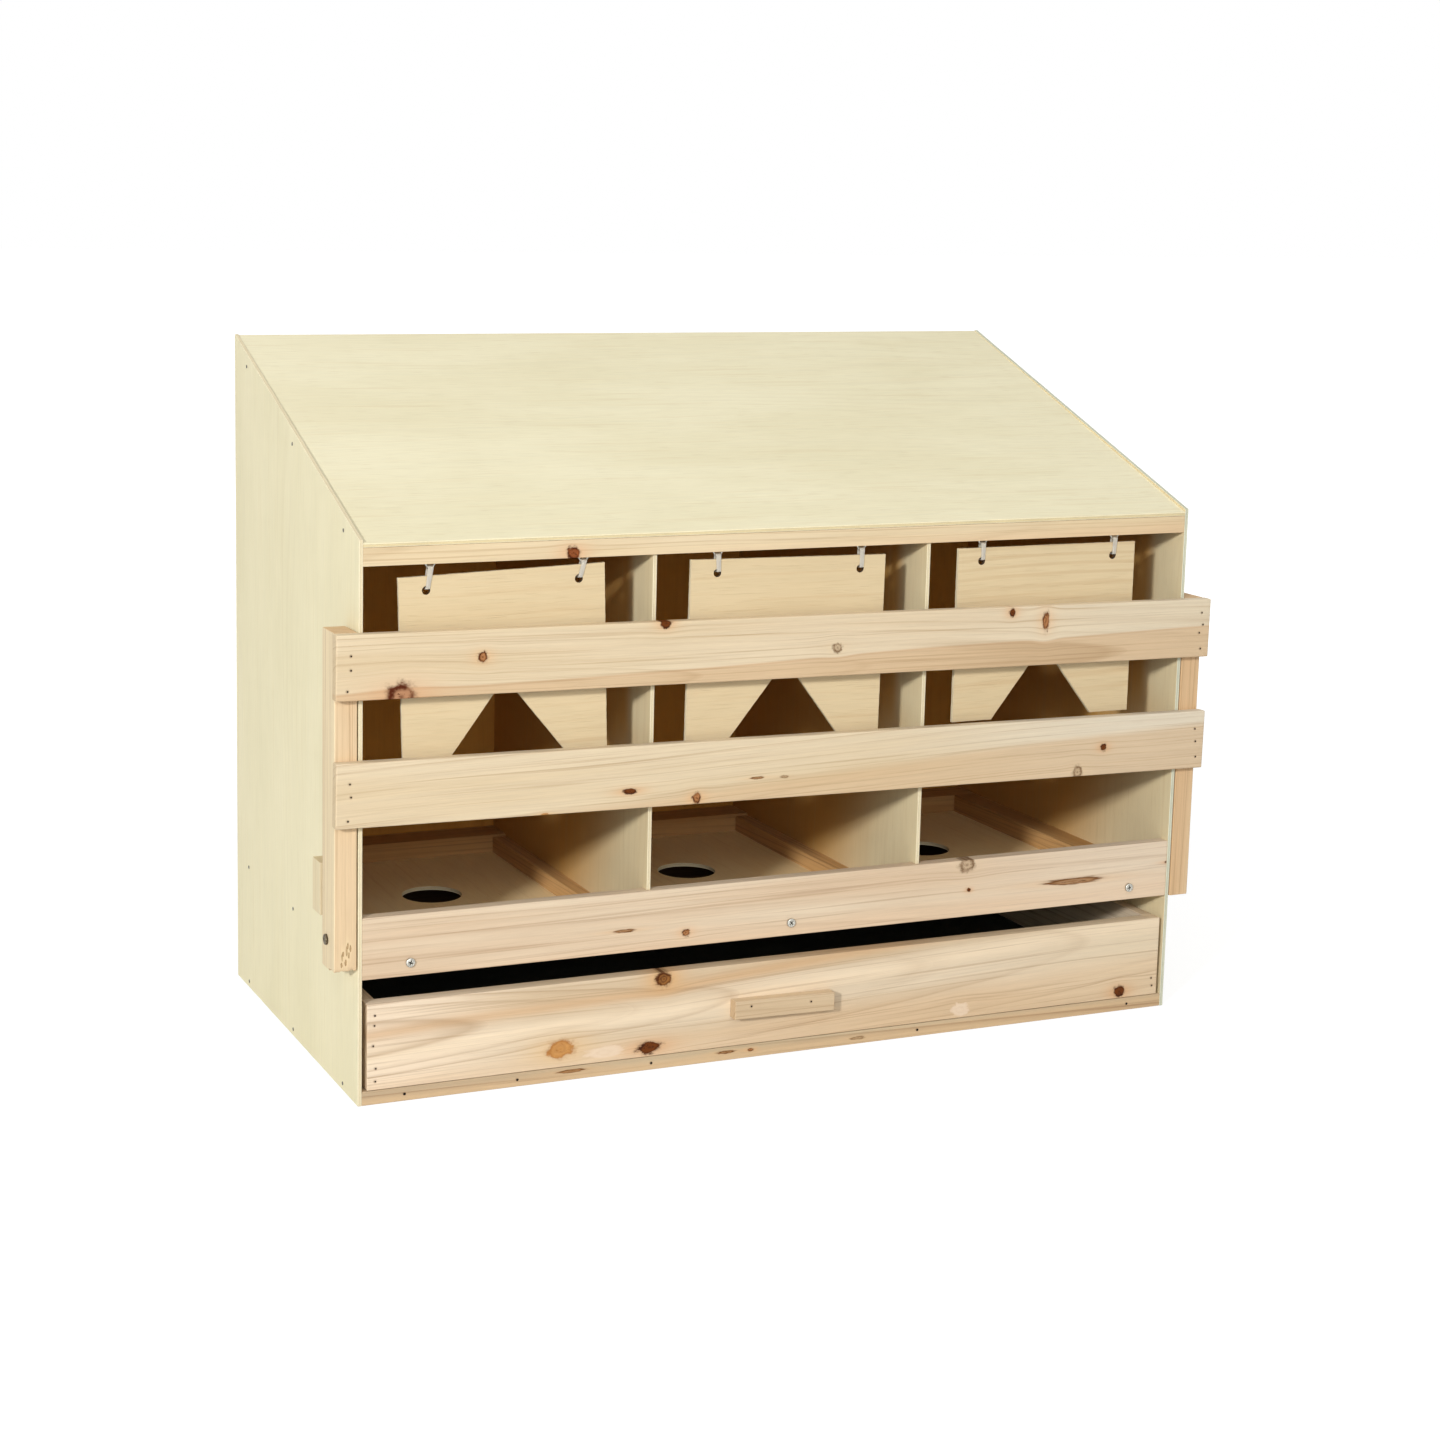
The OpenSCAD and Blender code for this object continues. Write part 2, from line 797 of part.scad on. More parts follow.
// The bolts that the perch turns on, from the arms' outer faces to the nuts inside
module pivot_bolts() {
    reach = arm_outer_x - inner_x + washer_thickness + nut_height + bolt_end;
    color("silver") in_case() at_pivots() difference() {
        union() {
            translate([0, 0, -reach]) cylinder(h = reach + moving_gap + cut, d = pivot_diameter);
            translate([0, 0, moving_gap]) cylinder(h = bolt_head_height, d = bolt_head);
        }
        translate([0, 0, moving_gap + bolt_head_height])
            cross_recess(bolt_head * 0.6, bolt_head_height * 0.6);
    }
}

module spacer_washers() {
    color("gray") in_case() at_pivots()
        translate([0, 0, case_width / 2 - arm_outer_x]) washer(spacer_thickness);
}

module inner_washers() {
    color("gray") in_case() at_pivots()
        translate([0, 0, inner_x - arm_outer_x - washer_thickness]) washer(washer_thickness);
}

module pivot_nuts() {
    color("silver") in_case() at_pivots()
        translate([0, 0, inner_x - arm_outer_x - washer_thickness - nut_height]) difference() {
            cylinder(h = nut_height, d = nut_width, $fn = 6);
            translate([0, 0, -cut]) cylinder(h = nut_height + 2 * cut, d = pivot_hole);
        }
}

module drawer_front() {
    color("burlywood") in_case() difference() {
        block([-drawer_half, 0, drawer_bottom_z], [drawer_half, drawer_front_thickness, drawer_top]);
        for (side = [-1, 1])
            at_drawer_nails(side) nail_hole(wood_nail_length);
        at_pull_nails() nail_hole(panel_nail_length);
    }
}

module drawer_back() {
    color("tan") in_case() block([-drawer_inner_half, drawer_inner_back, drawer_floor_z],
        [drawer_inner_half, drawer_depth, drawer_top]);
}

module drawer_side(side) {
    color("tan") in_case() difference() {
        block([side < 0 ? -drawer_half : drawer_inner_half, drawer_front_thickness, drawer_floor_z],
            [side < 0 ? -drawer_inner_half : drawer_half, drawer_depth, drawer_top]);
        at_drawer_nails(side) nail_hole(wood_nail_length);
    }
}

module drawer_left_side() {
    drawer_side(-1);
}

module drawer_right_side() {
    drawer_side(1);
}

module drawer_bottom() {
    color("wheat") in_case() block([-drawer_half, drawer_front_thickness, drawer_bottom_z],
        [drawer_half, drawer_depth, drawer_floor_z]);
}

module drawer_mat() {
    color("dimgray") in_case() block([-drawer_inner_half, drawer_front_thickness, drawer_floor_z],
        [drawer_inner_half, drawer_inner_back, drawer_floor_z + mat_thickness]);
}

module drawer_pull() {
    color("burlywood") in_case() difference() {
        at_pull() block([-pull_length / 2, -pull_thickness, -pull_height / 2],
            [pull_length / 2, 0, pull_height / 2]);
        at_pull_nails() nail_hole(panel_nail_length);
    }
}

// A curtain with its notch, drawn in X and Z with the middle of its upper edge at the origin
module curtain_outline(width, hole_spacing) {
    difference() {
        translate([-width / 2, -curtain_height]) square([width, curtain_height]);
        polygon([
            [-notch_width / 2, -curtain_height], [0, notch_height - curtain_height],
            [notch_width / 2, -curtain_height], [0, -curtain_height - cut]
        ]);
        for (side = [-1, 1])
            translate([side * hole_spacing / 2, -tie_hole_drop]) circle(d = tie_hole_diameter);
    }
}

module curtain(nest) {
    place = curtains[nest];
    color("moccasin") in_case() translate([place[0], curtain_y + curtain_thickness / 2, curtain_top(place)])
        rotate([0, -place[2], 0]) rotate([90, 0, 0])
            linear_extrude(curtain_thickness) curtain_outline(place[1], place[3]);
}

module left_curtain() {
    curtain(0);
}

module middle_curtain() {
    curtain(1);
}

module right_curtain() {
    curtain(2);
}

// A tie's outline in Y and Z round the curtain: flat in the curtain's hole, round over the staple
module tie_outline(low, high, half) {
    translate([-half, low]) square([2 * half, high - half - low]);
    translate([0, high - half]) circle(half);
}

module tie(low) {
    half = curtain_thickness / 2 + tie_play;
    along_x(-tie_width / 2, tie_width / 2) difference() {
        tie_outline(low - tie_thickness, tie_inside_top + tie_thickness, half + tie_thickness);
        tie_outline(low, tie_inside_top, half);
    }
}

module curtain_ties(nest) {
    place = curtains[nest];
    color("white") in_case() for (side = [-1, 1])
        translate([tie_x(place, side), curtain_y, 0])
            tie(tie_hole_z(place, side) + tie_seat - fixing_clearance);
}

module left_curtain_ties() {
    curtain_ties(0);
}

module middle_curtain_ties() {
    curtain_ties(1);
}

module right_curtain_ties() {
    curtain_ties(2);
}

module at_staples() {
    for (place = curtains)
        for (side = [-1, 1])
            translate([tie_x(place, side), curtain_y, hinge_z + staple_bend]) children();
}

// A wire staple, bent down from two legs that are driven up into the top rail
module staple() {
    rise_to_rail = top_rail_bottom - hinge_z - staple_bend;
    union() {
        rotate([90, 0, 0]) rotate([0, 0, 180]) rotate_extrude(angle = 180)
            translate([staple_bend, 0]) circle(d = staple_wire);
        for (x = [-staple_bend, staple_bend])
            translate([x, 0, 0]) cylinder(h = rise_to_rail + staple_leg, d = staple_wire);
    }
}

module staple_holes() {
    for (x = [-staple_bend, staple_bend])
        translate([x, 0, 0])
            cylinder(h = top_rail_bottom - hinge_z - staple_bend + staple_leg + hole_end_gap,
                d = staple_wire + 2 * fixing_clearance);
}

module curtain_staples() {
    color("silver") in_case() at_staples() staple();
}

module panel_nails() {
    color("gray") in_case() {
        for (side = [-1, 1]) {
            at_side_nails(side) nail(panel_nail_length);
            at_stop_nails(side) nail(stop_nail_length(side));
        }
        at_back_nails() nail(panel_nail_length);
    }
}

module base_rail_nails() {
    color("gray") in_case() at_base_rail_nails() wood_nail();
}

module slat_nails() {
    color("gray") in_case() for (side = [-1, 1]) {
        at_upper_slat_nails(side) wood_nail();
        at_lower_slat_nails(side) wood_nail();
    }
}

module drawer_nails() {
    color("gray") in_case() {
        for (side = [-1, 1])
            at_drawer_nails(side) wood_nail();
        at_pull_nails() nail(panel_nail_length, wood_nail_head);
    }
}

module board_screws() {
    color("silver") in_case() at_board_screws() screw();
}

left_side_panel();
right_side_panel();
back_panel();
roof_panel();
top_front_rail();
top_rear_rail();
left_roof_batten();
right_roof_batten();
left_divider();
right_divider();
nest_floor();
left_nest_left_batten();
left_nest_right_batten();
middle_nest_left_batten();
middle_nest_right_batten();
right_nest_left_batten();
right_nest_right_batten();
left_nest_front_batten();
middle_nest_front_batten();
right_nest_front_batten();
left_nest_rear_batten();
middle_nest_rear_batten();
right_nest_rear_batten();
front_floor_board();
base_front_rail();
base_rear_rail();
left_base_batten();
right_base_batten();
drawer_runners();
left_stop_block();
right_stop_block();
left_perch_arm();
right_perch_arm();
upper_perch_slat();
lower_perch_slat();
pivot_bolts();
spacer_washers();
inner_washers();
pivot_nuts();
drawer_front();
drawer_back();
drawer_left_side();
drawer_right_side();
drawer_bottom();
drawer_mat();
drawer_pull();
left_curtain();
middle_curtain();
right_curtain();
left_curtain_ties();
middle_curtain_ties();
right_curtain_ties();
curtain_staples();
panel_nails();
base_rail_nails();
slat_nails();
drawer_nails();
board_screws();
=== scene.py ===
import math
import random

import bmesh
import bpy
from mathutils import Matrix, Vector, geometry, noise


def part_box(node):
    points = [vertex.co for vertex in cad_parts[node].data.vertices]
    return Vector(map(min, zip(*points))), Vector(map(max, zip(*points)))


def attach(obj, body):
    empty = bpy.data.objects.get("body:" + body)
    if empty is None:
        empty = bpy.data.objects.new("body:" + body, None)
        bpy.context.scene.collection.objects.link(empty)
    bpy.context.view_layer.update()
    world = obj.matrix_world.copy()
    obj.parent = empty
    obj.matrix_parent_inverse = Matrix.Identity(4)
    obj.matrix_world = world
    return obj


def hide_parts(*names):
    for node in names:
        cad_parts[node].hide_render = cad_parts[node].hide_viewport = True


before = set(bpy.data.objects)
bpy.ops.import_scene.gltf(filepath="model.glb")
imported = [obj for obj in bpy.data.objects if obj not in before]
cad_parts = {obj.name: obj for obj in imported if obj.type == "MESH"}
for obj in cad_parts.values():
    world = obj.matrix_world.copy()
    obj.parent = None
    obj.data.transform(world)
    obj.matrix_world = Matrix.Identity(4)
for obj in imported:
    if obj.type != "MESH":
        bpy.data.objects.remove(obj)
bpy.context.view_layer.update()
MM = 0.001


# Formulas that become shader nodes

def linear(colour):
    """A 0 to 255 screen colour as the linear colour that shaders take."""
    parts = [c / 255 for c in colour]
    return tuple(c / 12.92 if c <= 0.04045 else ((c + 0.055) / 1.055) ** 2.4 for c in parts) + (1.0,)


class Value:
    """A number in a node tree. Arithmetic on it adds Math nodes."""

    def __init__(self, graph, socket):
        self.graph, self.socket = graph, socket


for sign, operation in (("add", "ADD"), ("sub", "SUBTRACT"), ("mul", "MULTIPLY"), ("truediv", "DIVIDE")):
    setattr(Value, f"__{sign}__", lambda self, other, kind=operation: self.graph.math(kind, self, other))
    setattr(Value, f"__r{sign}__", lambda self, other, kind=operation: self.graph.math(kind, other, self))


class Graph:
    """Adds shader nodes to a node tree."""

    def __init__(self, tree):
        self.tree = tree

    def put(self, socket, value):
        """Links a Value to a socket, or sets it to a constant. Three numbers are a screen colour."""
        if isinstance(value, Value):
            self.tree.links.new(value.socket, socket)
        else:
            socket.default_value = linear(value) if socket.type == "RGBA" and len(value) == 3 else value

    def node(self, kind, inputs=None, **settings):
        made = self.tree.nodes.new(kind)
        for name, setting in settings.items():
            setattr(made, name, setting)
        for key, value in (inputs or {}).items():
            self.put(made.inputs[key], value)
        return made

    def out(self, made, key=0):
        return Value(self, made.outputs[key])

    def math(self, operation, *values):
        return self.out(self.node("ShaderNodeMath", dict(enumerate(values)), operation=operation))

    def vector(self, x, y, z):
        return self.out(self.node("ShaderNodeCombineXYZ", {0: x, 1: y, 2: z}))

    def split(self, vector):
        made = self.node("ShaderNodeSeparateXYZ", {0: vector})
        return [self.out(made, i) for i in range(3)]

    def place(self, kind="Object"):
        """X, Y and Z in the piece's own space, in metres, or of the surface "Normal"."""
        return self.split(self.out(self.node("ShaderNodeTexCoord"), kind))

    def noise(self, x, y, z, detail=2.0, rough=0.5):
        """Smooth noise from about 0.2 to 0.8, at one bump per unit."""
        return self.out(self.node("ShaderNodeTexNoise", {
            "Vector": self.vector(x, y, z), "Scale": 1.0, "Detail": detail, "Roughness": rough}))

    def ease(self, value, low, high, start=0.0, end=1.0):
        """Runs smoothly from start to end as value goes from low to high."""
        return self.out(self.node("ShaderNodeMapRange", {
            "Value": value, "From Min": low, "From Max": high, "To Min": start, "To Max": end},
            interpolation_type="SMOOTHSTEP"))

    def bell(self, x, y=0.0):
        """Falls from 1 where x and y are 0 towards 0 beyond 1."""
        return self.math("EXPONENT", (x * x + y * y) * -1.0)

    def reach(self, x, y):
        """The distance of (x, y) from the origin."""
        return self.math("SQRT", x * x + y * y)

    def ramp(self, value, stops):
        """Greys between the stops, which are (place, grey)."""
        made = self.node("ShaderNodeValToRGB", {0: value})
        marks = made.color_ramp.elements
        while len(marks) < len(stops):
            marks.new(0.5)
        for mark, (place, shade) in zip(marks, stops):
            mark.position = place
            mark.color = (shade, shade, shade, 1.0)
        return self.out(made)

    def mix(self, share, first, second, blend="MIX"):
        made = self.node("ShaderNodeMix", {0: share, 6: first, 7: second}, data_type="RGBA", blend_type=blend)
        return self.out(made, 2)

    def shade(self, colour, amount):
        """Multiplies a colour by a grey amount."""
        return self.mix(1.0, colour, self.vector(amount, amount, amount), "MULTIPLY")


def blank_graph(holder):
    """The emptied node tree of a material or a world."""
    holder.use_nodes = True
    holder.node_tree.nodes.clear()
    return Graph(holder.node_tree)


def new_material(name, paint, roughness, specular, bump, **sockets):
    """A material whose paint(graph) gives colour, roughness variation and bump height. Other sockets of its
    shader take constants, with underscores for the spaces in their names."""
    material = bpy.data.materials.new(name)
    g = blank_graph(material)
    colour, rough, height = paint(g)
    relief = g.node("ShaderNodeBump", {"Strength": 1.0, "Distance": bump, "Height": height})
    shader = g.node("ShaderNodeBsdfPrincipled", {
        "Base Color": colour, "Roughness": rough + roughness, "Specular IOR Level": specular,
        "Normal": g.out(relief), **{key.replace("_", " "): value for key, value in sockets.items()}})
    g.node("ShaderNodeOutputMaterial", {0: g.out(shader)})
    return material


def make_knot_group():
    """A knot round the origin: core, rim, halo and rings, and how far it pushes the grain aside."""
    tree = bpy.data.node_groups.new("knot", "ShaderNodeTree")
    for name in ("Along", "Across", "Length", "Height", "Seed"):
        tree.interface.new_socket(name, in_out="INPUT", socket_type="NodeSocketFloat")
    for name in ("Core", "Rim", "Halo", "Rings", "Push"):
        tree.interface.new_socket(name, in_out="OUTPUT", socket_type="NodeSocketFloat")
    g = Graph(tree)
    source = g.node("NodeGroupInput")
    along, across, length, height, seed = [g.out(source, i) for i in range(5)]
    u, v = along / length, across / height
    wobble = g.noise(u * 1.1 + seed, v * 1.1, seed, detail=3.0, rough=0.65) - 0.5
    far = g.reach(u, v) * (wobble * 1.3 + 1.0)
    core = g.ease(far, 0.84, 1.1, 1.0, 0.0)
    uneven = g.ease(g.noise(u * 0.8, v * 0.8 + seed, seed + 3.0, detail=1.0), 0.36, 0.6)
    crack = g.ease(g.noise(u * 2.4 + seed, v * 2.4, seed + 8.0, detail=3.0, rough=0.7), 0.55, 0.6)
    rim = g.math("MAXIMUM", g.bell((far - 0.82) / 0.32) * (uneven * 0.4 + 0.6),
                 g.math("MAXIMUM", core * crack * 0.8, g.bell(far / 0.28) * 0.8))
    halo = g.bell(u / 2.6, v / 1.5)
    rings = g.math("SINE", far * 11.0 + 3.6) * 0.5 + 0.5
    push = across * g.bell(u / 3.4, v / 2.4) * -0.32
    sink = g.node("NodeGroupOutput")
    for i, value in enumerate((core, rim, halo, rings, push)):
        g.put(sink.inputs[i], value)
    return tree


KNOT = make_knot_group()

# Screen colours of a knot's halo, core and rim, how strong each is, and how strongly its rings show
KNOT_KINDS = {
    "red": ((224, 166, 108), (208, 142, 88), (74, 32, 6), 0.4, 0.95, 1.0, 0.3),
    "moon": ((206, 138, 90), (214, 160, 118), (78, 28, 2), 0.38, 0.95, 1.0, 0.3),
    "dark": ((212, 148, 88), (128, 66, 18), (58, 24, 2), 0.5, 1.0, 1.0, 0.4),
    "pink": ((222, 160, 116), (176, 92, 40), (70, 28, 2), 0.5, 0.95, 1.0, 0.5),
    "amber": ((226, 184, 124), (214, 158, 88), (150, 86, 28), 0.55, 0.9, 0.55, 0.45),
    "ring": ((220, 164, 96), (192, 128, 64), (74, 34, 4), 0.65, 0.95, 1.0, 0.85),
    "faint": ((216, 182, 138), (190, 156, 112), (112, 80, 46), 0.25, 0.5, 0.75, 0.5),
    "tooth": ((226, 198, 156), (216, 186, 144), (98, 64, 30), 0.2, 0.3, 0.85, 0.5),
    "streak": ((222, 174, 118), (190, 134, 72), (96, 54, 18), 0.3, 0.7, 0.9, 0.6),
    "fleck": ((240, 218, 174), (196, 158, 108), (132, 96, 56), 0.45, 0.6, 0.8, 0.4),
    "patch": ((230, 210, 184), (236, 216, 192), (220, 192, 160), 0.0, 0.75, 0.3, 0.3),
}


def clear_of(g, xyz, dents):
    """0 in the crushed fibres at a nail, and 1 away from all nails."""
    point, away = g.vector(*xyz), 1.0
    for dent in dents:
        gap = g.out(g.node("ShaderNodeVectorMath", {0: point, 1: tuple(dent)}, operation="DISTANCE"), "Value")
        away = g.math("MINIMUM", away, g.ease(gap, 0.0007, 0.0024))
    return away


# The axes along the grain, across it and into the wood, for each direction of the grain
GRAIN = {"x": "xzy", "y": "yxz", "z": "zxy"}


def timber(name, tones, seed, along="x", pith=(0.0, 0.06), spacing=0.0065, tilt=0.03, slope=0.0, wave=0.004,
           knots=(), bands=(), drifts=(), dents=(), line=0.5, span=(-0.45, 0.45), ends=0.5):
    """Softwood: grain along one axis, rings round a pith, knots that bend the grain, and tone bands.

    tones are the early wood, a second tone and the late wood. pith is (across, deep), spacing the rings'
    width, tilt and slope how fast the pith leaves the grain in depth and across, and wave how far the grain
    wanders. Knots are (along, across, half length, half height, kind), bands (across at the span's low end
    and at its high end, softness, width or 0, colour, share), drifts (from, to, colour, share), and dents the
    nails' heads. line and ends say how strongly the late wood and the end grain show."""
    def paint(g):
        place = dict(zip("xyz", g.place()))
        a, b, c = [place[letter] for letter in GRAIN[along]]
        first, second, late = tones
        drift = (g.noise(a * 2.2, b * 7.0, seed * 3.7, detail=1.0) - 0.5) * (2.0 * wave) + a * slope
        across = b - drift
        found = []
        for number, (ka, kb, length, height, kind) in enumerate(knots):
            made = g.node("ShaderNodeGroup", {}, node_tree=KNOT)
            for i, value in enumerate((a - ka, b - kb, length, height, seed + number * 1.7)):
                g.put(made.inputs[i], value)
            found.append((made, KNOT_KINDS[kind]))
            across = across + g.out(made, "Push")
        off, deep = across - pith[0], c - pith[1] + a * tilt
        radius = g.reach(off, deep)
        radius = radius + (g.noise(radius * 70.0, seed * 1.3, a * 0.5, detail=1.0) - 0.5) * (spacing * 2.2)
        turn = radius / spacing
        phase = g.math("FRACT", turn)
        ring = g.ramp(phase, [(0.0, 0.3), (0.12, 0.0), (0.55, 0.08), (0.8, 0.4), (0.93, 1.0), (1.0, 0.3)])
        which = g.ease(g.noise(g.math("FLOOR", turn) * 5.3, a * 1.9, seed), 0.4, 0.66)
        ring = ring * (which * 0.9 + 0.1)
        tone = g.ease(g.noise(a * 1.7 + seed, across * 26.0, c * 14.0), 0.34, 0.66)
        colour = g.mix(tone, first, second)
        for start, stop, shade, share in drifts:
            ends_of_ease = (start, stop, 0, 1) if stop > start else (stop, start, 1, 0)
            colour = g.mix(g.ease(a, *ends_of_ease) * share, colour, shade)
        for low, high, soft, width, shade, share in bands:
            slant = (high - low) / (span[1] - span[0])
            edge = a * slant + (low - span[0] * slant)
            off_edge = across - edge
            amount = g.bell(off_edge / width) if width else g.ease(off_edge, -soft, soft, 1.0, 0.0)
            colour = g.mix(amount * share, colour, shade)
        colour = g.mix(ring * line, colour, late)
        hair = g.noise(a * 2.6 + seed, across * 460.0, c * 460.0, rough=0.7)
        colour = g.mix(g.ease(hair, 0.52, 0.7) * 0.38, colour, late)
        streak = g.noise(a * 9.0, across * 330.0 + seed, c * 330.0, detail=3.0, rough=0.6)
        fibre = g.noise(a * 55.0, across * 1500.0, c * 1500.0 + seed, rough=0.6)
        colour = g.shade(colour, (streak - 0.5) * 0.2 + (fibre - 0.5) * 0.14 + 1.0)
        height = streak * 0.35 + fibre * 0.45 - ring * 0.3 - hair * 0.2
        for made, (halo, core, rim, halo_share, core_share, rim_share, contrast) in found:
            rings = g.out(made, "Rings")
            colour = g.mix(g.out(made, "Halo") * halo_share, colour, halo)
            inside = g.mix(rings * contrast, core, rim)
            colour = g.mix(g.out(made, "Core") * core_share, colour, inside)
            colour = g.mix(g.out(made, "Rim") * rim_share, colour, rim)
            height = height - g.out(made, "Rim") * 0.5
        clear = clear_of(g, place.values(), dents)
        colour = g.mix((1.0 - clear) * 0.5, colour, (128, 96, 66))
        normal = dict(zip("xyz", g.place("Normal")))[along]
        end = g.ease(g.math("ABSOLUTE", normal), 0.6, 0.9)
        pores = g.noise(b * 1400.0, c * 1400.0, a * 20.0, detail=1.0)
        cut = g.mix(ring * 0.6 + pores * 0.25, second, late)
        colour = g.mix(end * ends, colour, cut)
        return colour, (streak - 0.5) * 0.2 - ring * 0.05 + end * 0.12, height + clear * 1.4
    return new_material(name, paint, 0.6, 0.14, 0.0003)


# How glossy plywood is outside and inside, and the amber painted shade on the inside walls under the roof
OUTSIDE_GLOSS, INSIDE_GLOSS = 0.16, 0.05
PAINTED_SHADE_AMBER = (203, 155, 84)


def plywood(name, tones, seed, along="x", across="z", fine=0.1, dashes=0.12, figure=0.18, dents=(),
            painted_shade=False, specular=OUTSIDE_GLOSS):
    """Peeled poplar veneer: nearly plain, with fine streaks, short dashes and a faint wide figure, each of a
    given strength. painted_shade adds an amber painted shade under the roof: close behind the curtains,
    and further in below them."""
    def paint(g):
        place = dict(zip("xyz", g.place()))
        a, b = place[along], place[across]
        first, second, dark = tones
        drift = (g.noise(a * 1.4, b * 4.0, seed, detail=1.0) - 0.5) * 0.03
        v = b - drift
        cloud = g.ease(g.noise(a * 3.0 + seed, v * 9.0, seed, detail=3.0, rough=0.6), 0.32, 0.68)
        colour = g.mix(cloud, first, second)
        if painted_shade:
            # Painted shade: amber under the roof, sharp-edged where the curtains' shadow falls behind them
            # above 0.3 m, and growing with depth and height where the slats' shadow falls below them
            y, z = place["y"], place["z"]
            below = g.ease(roof_under(y) - z, -0.002, 0.002)
            covered = g.ease(z, 0.3, 0.35)
            sharp, soft = g.ease(y, -0.168, -0.142), g.ease(y + z * 0.6, -0.04, 0.12)
            amount = (sharp - soft) * covered + soft
            colour = g.mix(amount * below * 0.95, colour, PAINTED_SHADE_AMBER)
        rings = g.math("SINE", (v + (g.noise(a * 1.1, v * 6.0, seed + 4.0, detail=1.0) - 0.5) * 0.16) * 420.0)
        where = g.ease(g.noise(a * 1.3, v * 11.0, seed + 9.0, detail=1.0), 0.45, 0.7)
        colour = g.mix(g.ease(rings, 0.1, 1.0) * where * figure, colour, dark)
        streak = g.noise(a * 5.0, v * 190.0, seed, detail=3.0, rough=0.65)
        hair = g.noise(a * 26.0, v * 900.0, seed + 2.0, rough=0.6)
        dash = g.ease(g.noise(a * 34.0, v * 1100.0, seed + 6.0, detail=0.0), 0.66, 0.78)
        colour = g.mix(g.ease(streak, 0.52, 0.72) * fine * 2.2, colour, dark)
        colour = g.mix(dash * dashes, colour, dark)
        colour = g.shade(colour, (streak - 0.5) * fine + (hair - 0.5) * fine + 1.0)
        height = streak * 0.3 + hair * 0.4 - dash * 0.6
        clear = clear_of(g, place.values(), dents)
        colour = g.mix((1.0 - clear) * 0.35, colour, (150, 130, 100))
        return colour, (streak - 0.5) * 0.16 + (cloud - 0.5) * 0.05, height + clear * 1.2
    return new_material(name, paint, 0.62, specular, 0.0002)


def ply_edge(name, normal, start, thickness, tones, seed, foot=0.0, hole_shade=()):
    """The three layers at a plywood sheet's edge, counted along the sheet's normal from start. foot is how
    strong a brown seam runs along the first layer, and hole_shade are X and Z of drilled holes whose walls
    get painted shade."""
    def paint(g):
        x, y, z = g.place()
        depth = (x * normal[0] + y * normal[1] + z * normal[2] - start) / thickness
        depth = depth + (g.noise(x * 240.0, y * 240.0, z * 240.0) - 0.5) * 0.1
        light, core, glue = tones
        middle = g.ease(depth, 0.27, 0.33) * g.ease(depth, 0.67, 0.73, 1.0, 0.0)
        seams = g.bell((depth - 0.3) / 0.05) + g.bell((depth - 0.7) / 0.05)
        colour = g.mix(middle, light, core)
        colour = g.mix(seams * 0.45, colour, glue)
        if foot:
            colour = g.mix(g.bell(depth / 0.12) * foot, colour, (120, 92, 56))
        fuzz = g.noise(x * 900.0 + seed, y * 900.0, z * 900.0, rough=0.7)
        patch = g.noise(x * 30.0, y * 30.0, z * 30.0 + seed)
        colour = g.shade(colour, (fuzz - 0.5) * 0.25 + (patch - 0.5) * 0.2 + 1.0)
        # Painted shade on the walls of the drilled holes
        for bx, bz in hole_shade:
            gap = g.reach(x - bx, z - bz)
            colour = g.mix(g.ease(gap, 0.005, 0.0065, 0.94, 0.0), colour, (58, 34, 18))
        return colour, (fuzz - 0.5) * 0.2, fuzz - middle * 0.5
    return new_material(name, paint, 0.75, 0.2, 0.0003)


def metal(name, dark, light, grain, roughness, rust=0.0):
    """Plain or zinc-plated steel with cloudy plating, fine scratches and a trace of rust."""
    def paint(g):
        x, y, z = g.place()
        cloud = g.noise(x * grain, y * grain, z * grain, detail=3.0, rough=0.6)
        spot = g.noise(x * 2600.0, y * 2600.0, z * 2600.0)
        colour = g.mix(g.ease(cloud, 0.35, 0.65), dark, light)
        colour = g.mix(g.ease(spot, 0.55, 0.75) * rust, colour, (104, 66, 40))
        colour = g.shade(colour, (spot - 0.5) * 0.3 + 1.0)
        return colour, (cloud - 0.5) * 0.3 + (spot - 0.5) * 0.1, spot
    return new_material(name, paint, roughness, 0.5, 0.00008, Metallic=1.0)


def nylon(name):
    """Thin milky nylon strap: light shows through it, with moulding lines along it."""
    def paint(g):
        x, y, z = g.place()
        cloud = g.noise(x * 500.0, y * 500.0, z * 160.0)
        rib = g.math("SINE", x * 5200.0) * 0.5 + 0.5
        colour = g.mix(cloud, (228, 221, 206), (243, 238, 226))
        colour = g.shade(colour, rib * 0.06 + 0.95)
        return colour, (cloud - 0.5) * 0.1, rib * 0.5 + cloud
    return new_material(name, paint, 0.32, 0.5, 0.0001, Transmission_Weight=0.45, IOR=1.45)


def foam(name):
    """Black closed foam with a fine pebbled skin and faint waves."""
    def paint(g):
        x, y, z = g.place()
        pebble = g.noise(x * 900.0, y * 900.0, z * 900.0, rough=0.7)
        cloud = g.noise(x * 9.0, y * 16.0, 0.0, detail=3.0)
        colour = g.mix(g.ease(cloud, 0.3, 0.7), (64, 67, 62), (78, 81, 75))
        colour = g.shade(colour, (pebble - 0.5) * 0.5 + 1.0)
        return colour, (pebble - 0.5) * 0.25, pebble
    return new_material(name, paint, 0.85, 0.06, 0.0004)


# Meshes

WEAR_PER_METRE = 38.0


def link(name, data):
    made = bpy.data.objects.new(name, data)
    bpy.context.scene.collection.objects.link(made)
    return made


